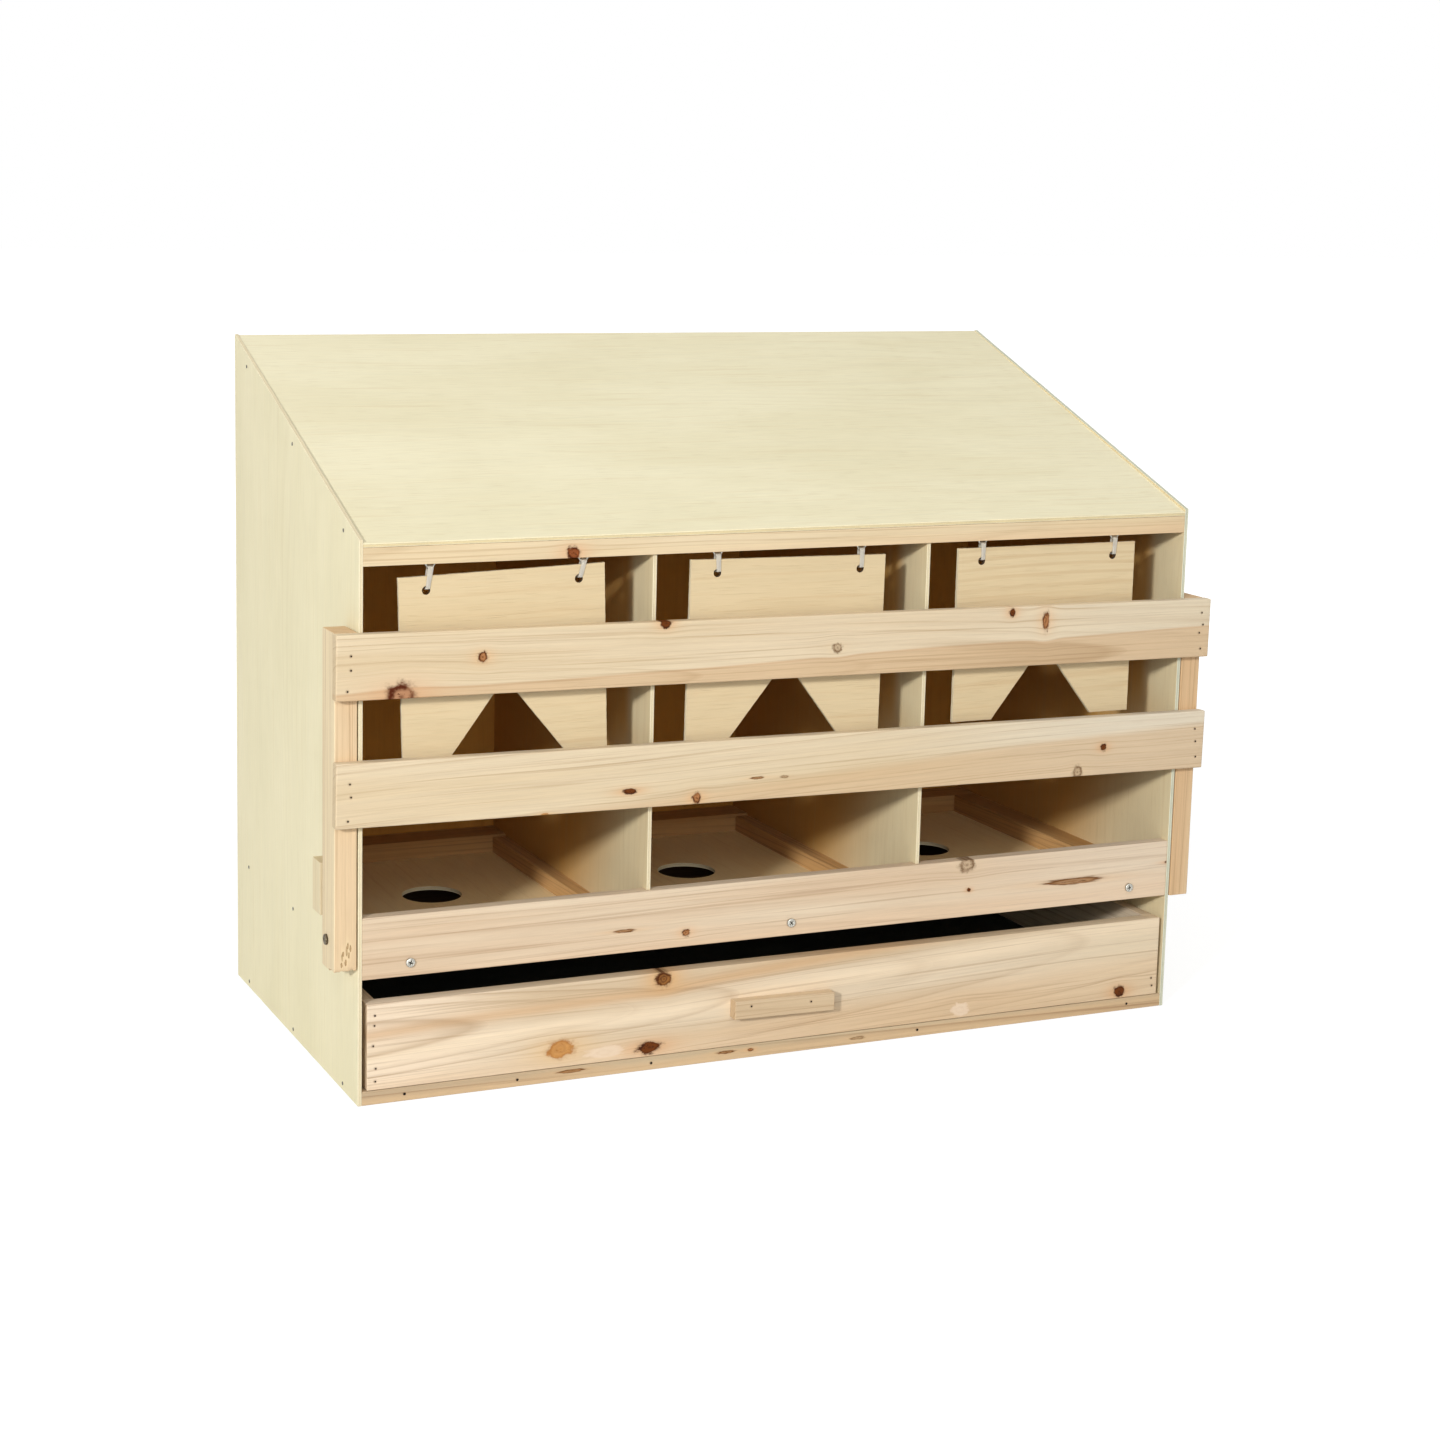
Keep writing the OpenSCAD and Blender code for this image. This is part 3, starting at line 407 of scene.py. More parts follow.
def settle(bm, name, *materials):
    """Turns a bmesh into an object with smooth shading, weighted normals and its materials."""
    bmesh.ops.recalc_face_normals(bm, faces=bm.faces)
    for face in bm.faces:
        face.smooth = True
    mesh = bpy.data.meshes.new(name)
    bm.to_mesh(mesh)
    bm.free()
    for material in materials:
        mesh.materials.append(material)
    made = link(name, mesh)
    weigh = made.modifiers.new("normals", "WEIGHTED_NORMAL")
    weigh.keep_sharp = True
    weigh.weight = 80
    graph = bpy.context.evaluated_depsgraph_get()
    made.data = bpy.data.meshes.new_from_object(made.evaluated_get(graph))
    made.modifiers.clear()
    made.data.name = name
    return made


def done(piece, body, node):
    """Puts a piece in place of a CAD node."""
    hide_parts(node)
    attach(piece, body)


def soften(bm, width, segments=2):
    """Eases every edge that is sharper than 30 degrees."""
    limit = math.radians(30.0)
    sharp = [e for e in bm.edges if len(e.link_faces) == 2 and e.calc_face_angle(0.0) > limit]
    bmesh.ops.bevel(bm, geom=sharp, offset=width, segments=segments, profile=0.6, affect="EDGES",
                    clamp_overlap=True)


def along_axis(axis, length=1.0):
    return Vector([length if i == axis else 0.0 for i in range(3)])


def slices(bm, axis, low, high, step):
    """Cuts a mesh into slices along one axis."""
    count = max(1, round((high - low) / step))
    for i in range(1, count):
        geometry = list(bm.verts) + list(bm.edges) + list(bm.faces)
        bmesh.ops.bisect_plane(bm, geom=geometry, plane_co=along_axis(axis, low + (high - low) * i / count),
                               plane_no=along_axis(axis))


def wear(bm, middle, amount, seed):
    """Moves points a little way in, so that edges and faces aren't perfectly straight."""
    for vert in bm.verts:
        p = vert.co * WEAR_PER_METRE + Vector((seed, seed * 1.7, 0))
        shift = (noise.noise(p) + 0.6 * noise.noise(p * 2.7)) * 0.5 + 0.5
        inward = middle - vert.co
        for i in range(3):
            if abs(inward[i]) > 1e-6:
                vert.co[i] += math.copysign(min(abs(inward[i]), amount * max(0.0, shift)), inward[i])


def box_mesh(low, high):
    bm = bmesh.new()
    bmesh.ops.create_cube(bm, size=1.0)
    for vert in bm.verts:
        for i in range(3):
            vert.co[i] = low[i] if vert.co[i] < 0 else high[i]
    return bm


def outline_mesh(outline, axis, low, high, holes=()):
    """Extrudes a 2-D outline with holes along an axis. Points are (Y, Z), (X, Z) or (X, Y)."""
    bm = bmesh.new()
    edges = []
    for ring in (outline, *holes):
        verts = [bm.verts.new((*point[:axis], low, *point[axis:])) for point in ring]
        edges += [bm.edges.new(pair) for pair in zip(verts, verts[1:] + verts[:1])]
    bmesh.ops.triangle_fill(bm, use_beauty=True, use_dissolve=False, edges=edges)
    grown = bmesh.ops.extrude_face_region(bm, geom=list(bm.faces))
    bmesh.ops.translate(bm, vec=along_axis(axis, high - low),
                        verts=[v for v in grown["geom"] if isinstance(v, bmesh.types.BMVert)])
    bmesh.ops.recalc_face_normals(bm, faces=bm.faces)
    return bm


def sheet(name, face, edge, outline, axis, body, span=None, holes=(), step=1.0, ease=0.35, turn=None,
          normal=None, inner=None, inward=0):
    """A plywood sheet in place of its node. Its faces across the normal, or the axis, and its cut edges have
    materials of their own, and so may the face that looks inward. span takes the place of the node's box."""
    low, high = span or [corner[axis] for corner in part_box(name)]
    bm = outline_mesh(outline, axis, low, high, holes)
    slices(bm, axis, low, high, step)
    soften(bm, ease * MM)
    for f in bm.faces:
        f.normal_update()
        across = f.normal.dot(normal or along_axis(axis))
        f.material_index = 2 if across * inward > 0.8 else 0 if abs(across) > 0.8 else 1
    if turn:
        bmesh.ops.transform(bm, matrix=turn, verts=bm.verts)
    done(settle(bm, name, face, edge, *([inner] if inner else [])), body, name)


def circle(x, y, radius, count):
    turns = [2 * math.pi * i / count for i in range(count)]
    return [(x + radius * math.cos(t), y + radius * math.sin(t)) for t in turns]


def jitter(points, step, amount, seed):
    """Splits a closed outline into short runs and makes it slightly uneven, as a saw leaves it."""
    dice = random.Random(seed)
    points = [Vector(p) for p in points]
    out = []
    for start, end in zip(points, points[1:] + points[:1]):
        run = end - start
        side = Vector((run.y, -run.x)).normalized()
        count = max(1, int(run.length / step))
        out.append(start)
        out += [start + run * (k / count) + side * dice.uniform(-amount, 0) for k in range(1, count)]
    return out


def hull(node):
    """The convex outline of a CAD node in Y and Z."""
    points = sorted({(round(v.co.y, 5), round(v.co.z, 5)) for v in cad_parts[node].data.vertices})
    return [points[i] for i in geometry.convex_hull_2d(points)]


def fixings(node):
    """The head's top, outward direction, head's radius and length of each nail or screw in a node."""
    bm = bmesh.new()
    bm.from_mesh(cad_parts[node].data)
    bmesh.ops.remove_doubles(bm, verts=bm.verts, dist=1e-6)
    left, found = set(bm.verts), []
    while left:
        group, stack = [], [left.pop()]
        while stack:
            vert = stack.pop()
            group.append(vert.co.copy())
            joined = {e.other_vert(vert) for e in vert.link_edges} & left
            left -= joined
            stack += joined
        low = Vector([min(p[i] for p in group) for i in range(3)])
        high = Vector([max(p[i] for p in group) for i in range(3)])
        axis = max(range(3), key=lambda i: high[i] - low[i])
        middle = (low + high) / 2

        def spread(at):
            ring = [p - middle for p in group if abs(p[axis] - at) < 1e-5]
            return max((p - along_axis(axis, p[axis])).length for p in ring)

        top = high[axis] if spread(high[axis]) > spread(low[axis]) else low[axis]
        centre = middle.copy()
        centre[axis] = top
        found.append((centre, along_axis(axis, 1.0 if top == high[axis] else -1.0), spread(top),
                      high[axis] - low[axis]))
    bm.free()
    return sorted(found, key=lambda f: tuple(round(v, 4) for v in f[0]))


def skin(bm, rings):
    """Joins each ring of points to the next by faces. The points of a ring may be all the same."""
    return [bm.faces.new(tuple(dict.fromkeys((first[i], second[i], second[i + 1], first[i + 1]))))
            for first, second in zip(rings, rings[1:]) for i in range(-len(first), 0)]


def lathe(bm, base, out, profile, steps, lean=(0.0, 0.0)):
    """Sweeps a profile of (radius, height) points round an axis through base. The ends have radius 0."""
    side = out.orthogonal().normalized()
    other = out.cross(side)
    axis = (out + side * lean[0] + other * lean[1]).normalized()
    side = (side - axis * side.dot(axis)).normalized()
    other = axis.cross(side)
    rings = []
    for radius, height in profile:
        places = circle(0, 0, radius, steps) if radius else [(0.0, 0.0)]
        rings.append([bm.verts.new(base + axis * height + side * u + other * v) for u, v in places])
    skin(bm, [ring * (steps // len(ring)) for ring in rings])


def tube(name, material, paths, radius):
    """One object from several round bars that follow the given points."""
    curve = bpy.data.curves.new(name, "CURVE")
    curve.dimensions = "3D"
    curve.bevel_depth = radius
    curve.bevel_resolution = 6
    curve.use_fill_caps = True
    for path in paths:
        spline = curve.splines.new("POLY")
        spline.points.add(len(path) - 1)
        for point, co in zip(spline.points, path):
            point.co = (*co, 1.0)
    holder = link(name + "-curve", curve)
    mesh = bpy.data.meshes.new_from_object(holder.evaluated_get(bpy.context.evaluated_depsgraph_get()))
    bpy.data.objects.remove(holder)
    mesh.materials.append(material)
    for face in mesh.polygons:
        face.use_smooth = True
    return link(name, mesh)


# Tones of timber and veneer: early wood, a second tone and late wood

CREAM = ((227, 209, 176), (220, 198, 160), (171, 137, 96))
SLAT = ((221, 203, 172), (214, 193, 158), (166, 132, 92))
ROSY = ((223, 204, 177), (215, 190, 160), (163, 129, 97))
BASE = ((199, 180, 148), (190, 167, 136), (150, 115, 82))
ARM = ((224, 197, 159), (215, 181, 140), (165, 128, 90))
DRAWER = ((223, 205, 178), (208, 185, 153), (162, 129, 93))
# The drawer's back board: the drawer's wood darkened nearly to black, painted shade
DRAWER_BACK_SHADE_TONES = ((92, 70, 48), (78, 58, 38), (50, 36, 24))
PULL = ((213, 190, 157), (201, 176, 142), (156, 122, 86))
STOP = ((230, 216, 180), (222, 204, 166), (178, 150, 112))
BATTEN = ((208, 166, 112), (190, 146, 92), (148, 104, 62))
ROOF = ((238, 230, 197), (232, 223, 188), (206, 188, 148))
PANEL = ((241, 232, 197), (235, 226, 190), (214, 200, 160))
CURTAIN = ((221, 201, 163), (216, 195, 156), (190, 159, 118))
# Faces inside the case and the drawer: a warmer, darker copy of the panel's tones, painted shade
INSIDE_SHADE_TONES = ((226, 212, 174), (219, 202, 163), (190, 164, 120))
# Inside faces of the back panel and roof: a deep amber copy of the panel's tones, painted shade
DEEP_SHADE_TONES = ((224, 168, 84), (212, 154, 72), (176, 118, 50))
# The nests' floor: lighter tones that stand in for light reaching it, painted light
FLOOR = ((252, 228, 178), (247, 221, 168), (206, 172, 118))

# Tones of a sheet's edge: outer layers, core and glue
EDGES = ((236, 224, 192), (226, 212, 176), (196, 174, 134))
GREY_EDGES = ((216, 218, 198), (206, 206, 182), (180, 176, 146))
ROOF_EDGES = ((236, 224, 188), (222, 204, 160), (168, 152, 104))

NAILS = {kind: fixings(kind + "_nails") for kind in ("panel", "base_rail", "slat", "drawer")}


def near(kind, low, high):
    """The heads of those nails of a kind that lie in a box or within 4 mm of it."""
    heads = [f[0] for f in NAILS.get(kind, ())]
    return [p for p in heads if all(low[i] - 0.004 <= p[i] <= high[i] + 0.004 for i in range(3))]


def leaned(low, high, degrees):
    """Corners and turn of a board that leans by some degrees in its node's box."""
    t = math.radians(degrees)
    size, middle = high - low, (low + high) / 2
    length = (size.x * math.cos(t) - size.z * math.sin(t)) / math.cos(2 * t)
    width = (size.z * math.cos(t) - size.x * math.sin(t)) / math.cos(2 * t)
    half = Vector((length / 2, size.y / 2, width / 2))
    turn = Matrix.Translation(middle) @ Matrix.Rotation(t, 4, "Y") @ Matrix.Translation(-middle)
    return middle - half, middle + half, turn


def plank(name, tones, seeds, body="case", slot="batten_timber", nailed=None, lean=0.0, sloped=False,
          step=0.02, ease=0.8, segments=3, amount=0.12, extra=None, **wood):
    """A sawn board in place of its node, with eased and slightly uneven edges: ease and amount are in mm.
    seeds are its grain's and its edges', nailed the kind of nails whose heads may lie in it, lean is in
    degrees, and a sloped board follows the roof. extra changes its mesh, and the rest goes to timber."""
    low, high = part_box(name)
    material = timber(name, tones, seeds[0], dents=near(nailed, low, high), **wood)
    if lean:
        low, high, turn = leaned(low, high, lean)
    axis = max(range(3), key=lambda i: high[i] - low[i])
    bm = outline_mesh(hull(name), 0, low.x, high.x) if sloped else box_mesh(low, high)
    slices(bm, axis, low[axis], high[axis], step)
    soften(bm, ease * MM, segments)
    if extra:
        extra(bm)
    wear(bm, (low + high) / 2, amount * MM, seeds[1])
    if lean:
        bmesh.ops.transform(bm, matrix=turn, verts=bm.verts)
    done(settle(bm, name, material), body, name)


def flat_edge(name, axis, seed):
    """The edge of a sheet whose faces lie across an axis."""
    low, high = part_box(name)
    return ply_edge(name + "_edge", along_axis(axis), low[axis], high[axis] - low[axis], EDGES, seed)


def rectangle(low, high, axis):
    """The outline of a box, seen along an axis."""
    u, v = [i for i in range(3) if i != axis]
    return [(low[u], low[v]), (high[u], low[v]), (high[u], high[v]), (low[u], high[v])]


# The case: plywood sheets

roof = hull("roof_panel")
front_bottom = min(roof, key=lambda p: (round(p[0], 4), p[1]))
back_bottom = min(roof, key=lambda p: (-round(p[0], 4), p[1]))
rise = (back_bottom[1] - front_bottom[1]) / (back_bottom[0] - front_bottom[0])
slant = math.sqrt(1 + rise * rise)


def roof_under(y):
    """The height of the roof sheet's underside."""
    return front_bottom[1] + rise * (y - front_bottom[0])


for side, name in ((-1, "left_side_panel"), (1, "right_side_panel")):
    low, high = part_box(name)
    outer = low.x if side < 0 else high.x
    heads = [p for p in near("panel", low, high) if abs(p.x - outer) < 0.002]
    face = plywood(name, PANEL, 3.0 + side, "z", "y", fine=0.12, dashes=0.16, figure=0.14, dents=heads)
    # The inside face takes the painted shade tones and the amber painted shade
    inner = plywood(name + "_inside", INSIDE_SHADE_TONES, 7.0 + side, "z", "y", figure=0.16, painted_shade=True,
                    specular=INSIDE_GLOSS)
    edge = ply_edge(name + "_edge", (side, 0, 0), min(side * low.x, side * high.x), high.x - low.x,
                    EDGES if side < 0 else GREY_EDGES, 2.0, 0.5 if side < 0 else 0.0)
    sheet(name, face, edge, jitter(hull(name), 0.012, 0.0002, 11 + side), 0, "case",
          inner=inner, inward=-side)

low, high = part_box("back_panel")
heads = [p for p in near("panel", low, high) if p.y > high.y - 0.002]
face = plywood("back_panel", PANEL, 8.0, "z", "x", fine=0.09, figure=0.14, dents=heads)
# The back panel's inside face takes the deep painted shade
inner = plywood("back_panel_inside", DEEP_SHADE_TONES, 9.0, "z", "x", figure=0.16, specular=INSIDE_GLOSS)
# As high as the lower one of its two top edges, which follow the roof's slope
top = sorted(z for y, z in hull("back_panel"))[-2]
sheet("back_panel", face, flat_edge("back_panel", 1, 3.0), rectangle(low, (high.x, high.y, top), 1), 1,
      "case", inner=inner, inward=-1)

normal = (0.0, -rise / slant, 1 / slant)
start = normal[1] * front_bottom[0] + normal[2] * front_bottom[1]
thick = (max(z for y, z in roof if abs(y - front_bottom[0]) < 1e-4) - front_bottom[1]) / slant
face = plywood("roof", ROOF, 5.0, "x", "y", fine=0.14, dashes=0.26, figure=0.1)
# The roof's underside takes the deep painted shade
inner = plywood("roof_inside", DEEP_SHADE_TONES, 5.5, "x", "y", figure=0.16, specular=INSIDE_GLOSS)
sheet("roof_panel", face, ply_edge("roof_edge", normal, start, thick, ROOF_EDGES, 4.0, 0.9), roof, 0,
      "case", step=0.03, normal=Vector(normal), inner=inner, inward=-1)

rail_low, rail_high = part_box("top_front_rail")
rear_low, rear_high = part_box("top_rear_rail")
floor_low, floor_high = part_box("nest_floor")
board_low, board_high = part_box("front_floor_board")
case_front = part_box("left_side_panel")[0].y
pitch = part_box("right_divider")[0].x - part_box("left_divider")[0].x

for side, name in ((-1, "left_divider"), (1, "right_divider")):
    low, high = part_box(name)
    outline = [
        (board_high.y, floor_high.z), (high.y, floor_high.z), (high.y, rear_low.z), (rear_low.y, rear_low.z),
        (rear_low.y, roof_under(rear_low.y)), (rail_high.y, roof_under(rail_high.y)),
        (rail_high.y, rail_low.z), (low.y, rail_low.z), (low.y, board_high.z), (board_high.y, board_high.z)]
    # The dividers take the inside's painted shade tones and the amber painted shade
    face = plywood(name, INSIDE_SHADE_TONES, 12.0 + side, "z", "y", painted_shade=True, specular=INSIDE_GLOSS)
    sheet(name, face, flat_edge(name, 0, 5.0), outline, 0, "case")

EGG_RADIUS = 0.03125
# The egg holes lie this far behind the case's front, and nearer the middle than their nests' centres
EGG_BACK, EGG_SHIFT = 0.25, 0.007
holes = [circle(i * (pitch - EGG_SHIFT), case_front + EGG_BACK, EGG_RADIUS, 96) for i in (-1, 0, 1)]
# The nest floor takes its painted light tones
face = plywood("nest_floor", FLOOR, 15.0, "y", "x", fine=0.12, figure=0.2, specular=INSIDE_GLOSS)
sheet("nest_floor", face, flat_edge("nest_floor", 2, 6.0), rectangle(floor_low, floor_high, 2), 2,
      "case", holes=holes)


# The case: solid wood

plank("top_front_rail", CREAM, (2.3, 4), slot="front_timber", sloped=True, ease=0.7, amount=0.1,
      pith=(0.53, -0.29), spacing=0.005, tilt=0.02, wave=0.003, line=0.45,
      knots=[(-0.240, 0.5165, 0.0062, 0.0056, "pink")],
      bands=[(0.503, 0.522, 0.008, 0, (224, 188, 148), 0.45)])
plank("top_rear_rail", BATTEN, (5.1, 5), sloped=True, ease=0.7, amount=0.1, pith=(0.62, 0.3))
for name, seed in (("left_roof_batten", 6.2), ("right_roof_batten", 7.9)):
    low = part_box(name)[0]
    plank(name, BATTEN, (seed, 0), sloped=True, step=1.0, ease=0.7, segments=2, amount=0, along="y",
          pith=(low.x + 0.03, low.z - 0.02))

for number, nest in enumerate(("left", "middle", "right")):
    for place, along, first, each in (("left", "y", 21.0, 3.1), ("right", "y", 20.0, 3.1),
                                      ("front", "x", 31.0, 2.3), ("rear", "x", 32.0, 2.3)):
        name = f"{nest}_nest_{place}_batten"
        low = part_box(name)[0]
        across, deep = [low["xyz".index(letter)] for letter in GRAIN[along][1:]]
        seed = first + number * each
        plank(name, BATTEN, (seed, seed), along=along, pith=(across - 0.02, deep - 0.03), spacing=0.004,
              line=0.6)

plank("front_floor_board", ROSY, (9.4, 12), slot="front_timber", ease=1.0,
      pith=(0.10, -0.27), spacing=0.0082, tilt=0.03, slope=0.012, wave=0.006, line=0.36,
      drifts=[(0.1, 0.42, (226, 208, 184), 0.8)],
      knots=[(-0.115, 0.136, 0.004, 0.0035, "red"), (0.2006, 0.1765, 0.0085, 0.0068, "tooth"),
             (0.3296, 0.1481, 0.033, 0.0030, "streak"), (0.204, 0.150, 0.002, 0.002, "dark"),
             (0.448, 0.1585, 0.0045, 0.0013, "dark"), (-0.181, 0.144, 0.011, 0.0015, "streak")],
      bands=[(0.128, 0.14, 0.01, 0, (226, 192, 156), 0.35)])
plank("base_front_rail", BASE, (4.6, 14), slot="front_timber", nailed="base_rail",
      pith=(-0.02, -0.25), spacing=0.005, tilt=0.01, line=0.55,
      knots=[(-0.233, 0.009, 0.013, 0.0016, "streak"), (-0.068, 0.0085, 0.009, 0.0015, "streak"),
             (-0.041, 0.0078, 0.003, 0.0015, "red"), (0.08, 0.006, 0.008, 0.0016, "faint")],
      bands=[(0.006, 0.012, 0.004, 0, (222, 186, 142), 0.5)])
plank("base_rear_rail", CREAM, (14.6, 15), pith=(-0.02, 0.25))
for name in ("left_base_batten", "right_base_batten"):
    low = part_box(name)[0]
    plank(name, CREAM, (16.0 + low.x, 16), along="y", pith=(low.x, -0.03))

RUNNER_HALF_WIDTH = 0.009
low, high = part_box("drawer_runners")
material = timber("drawer_runners", CREAM, 18.0, "y", pith=(0.0, -0.2))
bm = bmesh.new()
for head, *rest in NAILS["base_rail"]:  # each has a runner behind it
    one = box_mesh((head.x - RUNNER_HALF_WIDTH, low.y, low.z), (head.x + RUNNER_HALF_WIDTH, high.y, high.z))
    soften(one, 0.7 * MM)
    mesh = bpy.data.meshes.new("runner")
    one.to_mesh(mesh)
    one.free()
    bm.from_mesh(mesh)
done(settle(bm, "drawer_runners", material), "case", "drawer_runners")

for name in ("left_stop_block", "right_stop_block"):
    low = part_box(name)[0]
    plank(name, STOP, (41.0 + low.x, 17), slot="front_timber", ease=0.6, step=0.01, along="z",
          pith=(low.x - 0.02, low.y - 0.01), spacing=0.004, line=0.6, ends=0.9)


# The perch

def torn_foot(bm):
    """Chips the foot of the left arm: fibres torn out along its lower front and outer edges."""
    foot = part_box("left_perch_arm")[0].z
    for axis, low, high, step in ((2, foot, foot + 0.03, 0.0015), (0, -0.48, -0.44, 0.002),
                                  (1, -0.22, -0.17, 0.002)):
        slices(bm, axis, low, high, step)
    for vert in bm.verts:
        above = vert.co.z - foot
        if above < 0.02 and vert.co.y < -0.196:
            bite = noise.noise(Vector((vert.co.x * 260, vert.co.y * 160, 3.0))) * 0.5 + 0.5
            reach = 0.002 + 0.011 * bite * bite
            depth = max(0.0, 1 - above / reach)
            vert.co.z += depth * reach * 0.45
            vert.co.y += depth * 0.0012


# Torn fibres at the foot of the left arm: along, across, half length and half height
FLECKS = ((0.152, -0.4610, 0.0042, 0.0009), (0.146, -0.4655, 0.0034, 0.0008),
          (0.148, -0.4590, 0.0030, 0.0008), (0.141, -0.4620, 0.0030, 0.0009),
          (0.157, -0.4600, 0.0028, 0.0007), (0.1495, -0.4645, 0.0024, 0.0008),
          (0.154, -0.4575, 0.0028, 0.0008), (0.139, -0.4660, 0.0024, 0.0008))
# The left arm's outer face is as pale as the panel beside it
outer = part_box("left_perch_arm")[0].x + 0.0004
ARMS = {
    "left_perch_arm": (-1, torn_foot, [(outer, outer, 0.0003, 0, (236, 221, 185), 0.7)],
                       [(*place, "fleck") for place in FLECKS]),
    "right_perch_arm": (1, None, [], [(0.30, 0.47, 0.02, 0.0016, "streak")]),
}
for name, (side, extra, bands, knots) in ARMS.items():
    plank(name, ARM, (52.0 + side, 21 + side), "perch", "front_timber", ease=0.9, step=0.015, extra=extra,
          along="z", pith=(side * 0.49, -0.23), spacing=0.0055, tilt=0.015, wave=0.003, knots=knots,
          bands=bands, span=(0.13, 0.45), ends=0.6)

SLATS = {"body": "perch", "slot": "front_timber", "nailed": "slat", "lean": 0.57, "ease": 1.4,
         "amount": 0.2, "spacing": 0.0074, "line": 0.46, "span": (-0.475, 0.475)}
plank("upper_perch_slat", SLAT, (1.0, 31), pith=(0.395, -0.25), tilt=0.035, slope=-0.006, wave=0.005,
      drifts=[(0.12, 0.4, (216, 204, 178), 0.8), (-0.2, 0.06, (224, 206, 178), 0.5)],
      knots=[(-0.334, 0.4244, 0.0043, 0.0048, "red"), (-0.413, 0.3915, 0.0138, 0.0115, "moon"),
             (-0.1488, 0.4475, 0.0048, 0.0050, "dark"), (0.036, 0.4135, 0.0048, 0.0046, "tooth"),
             (0.2343, 0.4389, 0.0034, 0.0038, "dark"), (0.2742, 0.4286, 0.0038, 0.0088, "red")],
      bands=[(0.392, 0.4165, 0.003, 0, (205, 172, 132), 0.66),
             (0.392, 0.4165, 0, 0.0011, (190, 144, 100), 0.4)], **SLATS)
plank("lower_perch_slat", SLAT, (6.0, 32), pith=(0.262, -0.25), tilt=-0.03, slope=0.02, wave=0.007,
      drifts=[(0.05, 0.4, (221, 209, 187), 0.9)],
      knots=[(-0.1831, 0.2857, 0.0066, 0.0028, "dark"), (-0.1127, 0.2738, 0.0043, 0.0048, "red"),
             (0.3507, 0.2924, 0.0034, 0.0036, "dark"), (0.3204, 0.2679, 0.0052, 0.0062, "tooth"),
             (-0.048, 0.289, 0.007, 0.0012, "streak"), (-0.018, 0.288, 0.004, 0.0015, "faint"),
             (-0.270, 0.2695, 0.004, 0.0015, "amber")],
      bands=[(0.268, 0.301, 0.005, 0, (207, 175, 135), 0.6)], **SLATS)


# The drawer

plank("drawer_front", DRAWER, (3.3, 41), "drawer", "front_timber", nailed="drawer", ease=0.9,
      pith=(0.072, -0.26), spacing=0.0082, tilt=0.05, slope=0.02, wave=0.010, line=0.48,
      drifts=[(-0.25, -0.43, (238, 218, 192), 0.9), (0.2, 0.42, (224, 206, 176), 0.7)],
      knots=[(-0.1375, 0.0912, 0.0078, 0.0078, "ring"), (-0.2456, 0.0322, 0.0130, 0.0090, "amber"),
             (-0.1519, 0.0232, 0.0112, 0.0058, "dark"), (0.3938, 0.0212, 0.0062, 0.0058, "dark"),
             (-0.200, 0.024, 0.02, 0.006, "patch"), (0.199, 0.0225, 0.0105, 0.0075, "patch")],
      bands=[(0.075, 0.110, 0, 0.006, (206, 166, 122), 0.6), (0.055, 0.085, 0, 0.008, (240, 220, 190), 0.7),
             (0.03, 0.05, 0.012, 0, (224, 190, 150), 0.35)])
# The drawer's back takes its painted shade tones
for name, tones, along in (("drawer_back", DRAWER_BACK_SHADE_TONES, "x"), ("drawer_left_side", DRAWER, "y"),
                           ("drawer_right_side", DRAWER, "y")):
    plank(name, tones, (60.0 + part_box(name)[0].x, 43), "drawer", along=along, pith=(0.05, -0.2), line=0.4)
low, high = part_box("drawer_bottom")
sheet("drawer_bottom", plywood("drawer_bottom", INSIDE_SHADE_TONES, 21.0, "x", "y"), flat_edge("drawer_bottom", 2, 7.0),
      rectangle(low, high, 2), 2, "drawer")
plank("drawer_pull", PULL, (71.0, 44), "drawer", "front_timber", nailed="drawer", lean=0.9, step=0.01,
      pith=(0.03, -0.25), spacing=0.004, line=0.4, ends=0.9)

low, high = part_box("drawer_mat")
bm = box_mesh(low, high)
slices(bm, 0, low.x, high.x, 0.012)
slices(bm, 1, low.y, high.y, 0.012)
soften(bm, 1.0 * MM)
for vert in bm.verts:
    if vert.co.z > high.z - 0.0005:
        vert.co.z -= 0.0012 * (noise.noise(Vector((vert.co.x * 7, vert.co.y * 13, 1.0))) * 0.5 + 0.5)
done(settle(bm, "drawer_mat", foam("drawer_mat")), "drawer", "drawer_mat")


# The curtains, their ties and staples

WIRE = 0.001  # radius
HINGE_Z = 0.505983
CURTAIN_Y = case_front + 0.010
CURTAIN_HEIGHT, CURTAIN_HALF_THICKNESS = 0.178, 0.002
NOTCH_HALF_WIDTH, NOTCH_HEIGHT = 0.0595, 0.076
HOLE_DROP, HOLE_RADIUS = 0.0135, 0.004
# X, width, lean in degrees, half the distance between the holes, how much lower it hangs, and how far the
# left and right staples stand to the right of the holes
CURTAINS = {"left": (-0.307367, 0.2055, 1.8, 0.076, 0.0, (0.0042, 0.0048)),
            "middle": (-0.0084, 0.2123, -0.7, 0.078, 0.0008, (0.0006, 0.0014)),
            "right": (0.286167, 0.2099, 0.0, 0.078, 0.0008, (0.0012, 0.0022))}


def curtain_top(name):
    x, width, lean, spread, drop, staples = CURTAINS[name]
    return HINGE_Z - WIRE - 0.0008 - drop - spread * abs(math.sin(math.radians(lean)))


def tie_place(name, side):
    """X and Z of a hole, and X of the staple above it."""
    x, width, lean, spread, drop, staples = CURTAINS[name]
    t = math.radians(lean)
    hole = x + side * spread * math.cos(t) + HOLE_DROP * math.sin(t)
    return (hole, curtain_top(name) + side * spread * math.sin(t) - HOLE_DROP * math.cos(t),
            hole + staples[side > 0])


def half_turn(radius, count):
    """Points on the upper half of a circle round the origin, from right to left."""
    turns = [math.pi * i / count for i in range(count + 1)]
    return [(radius * math.cos(t), radius * math.sin(t)) for t in turns]


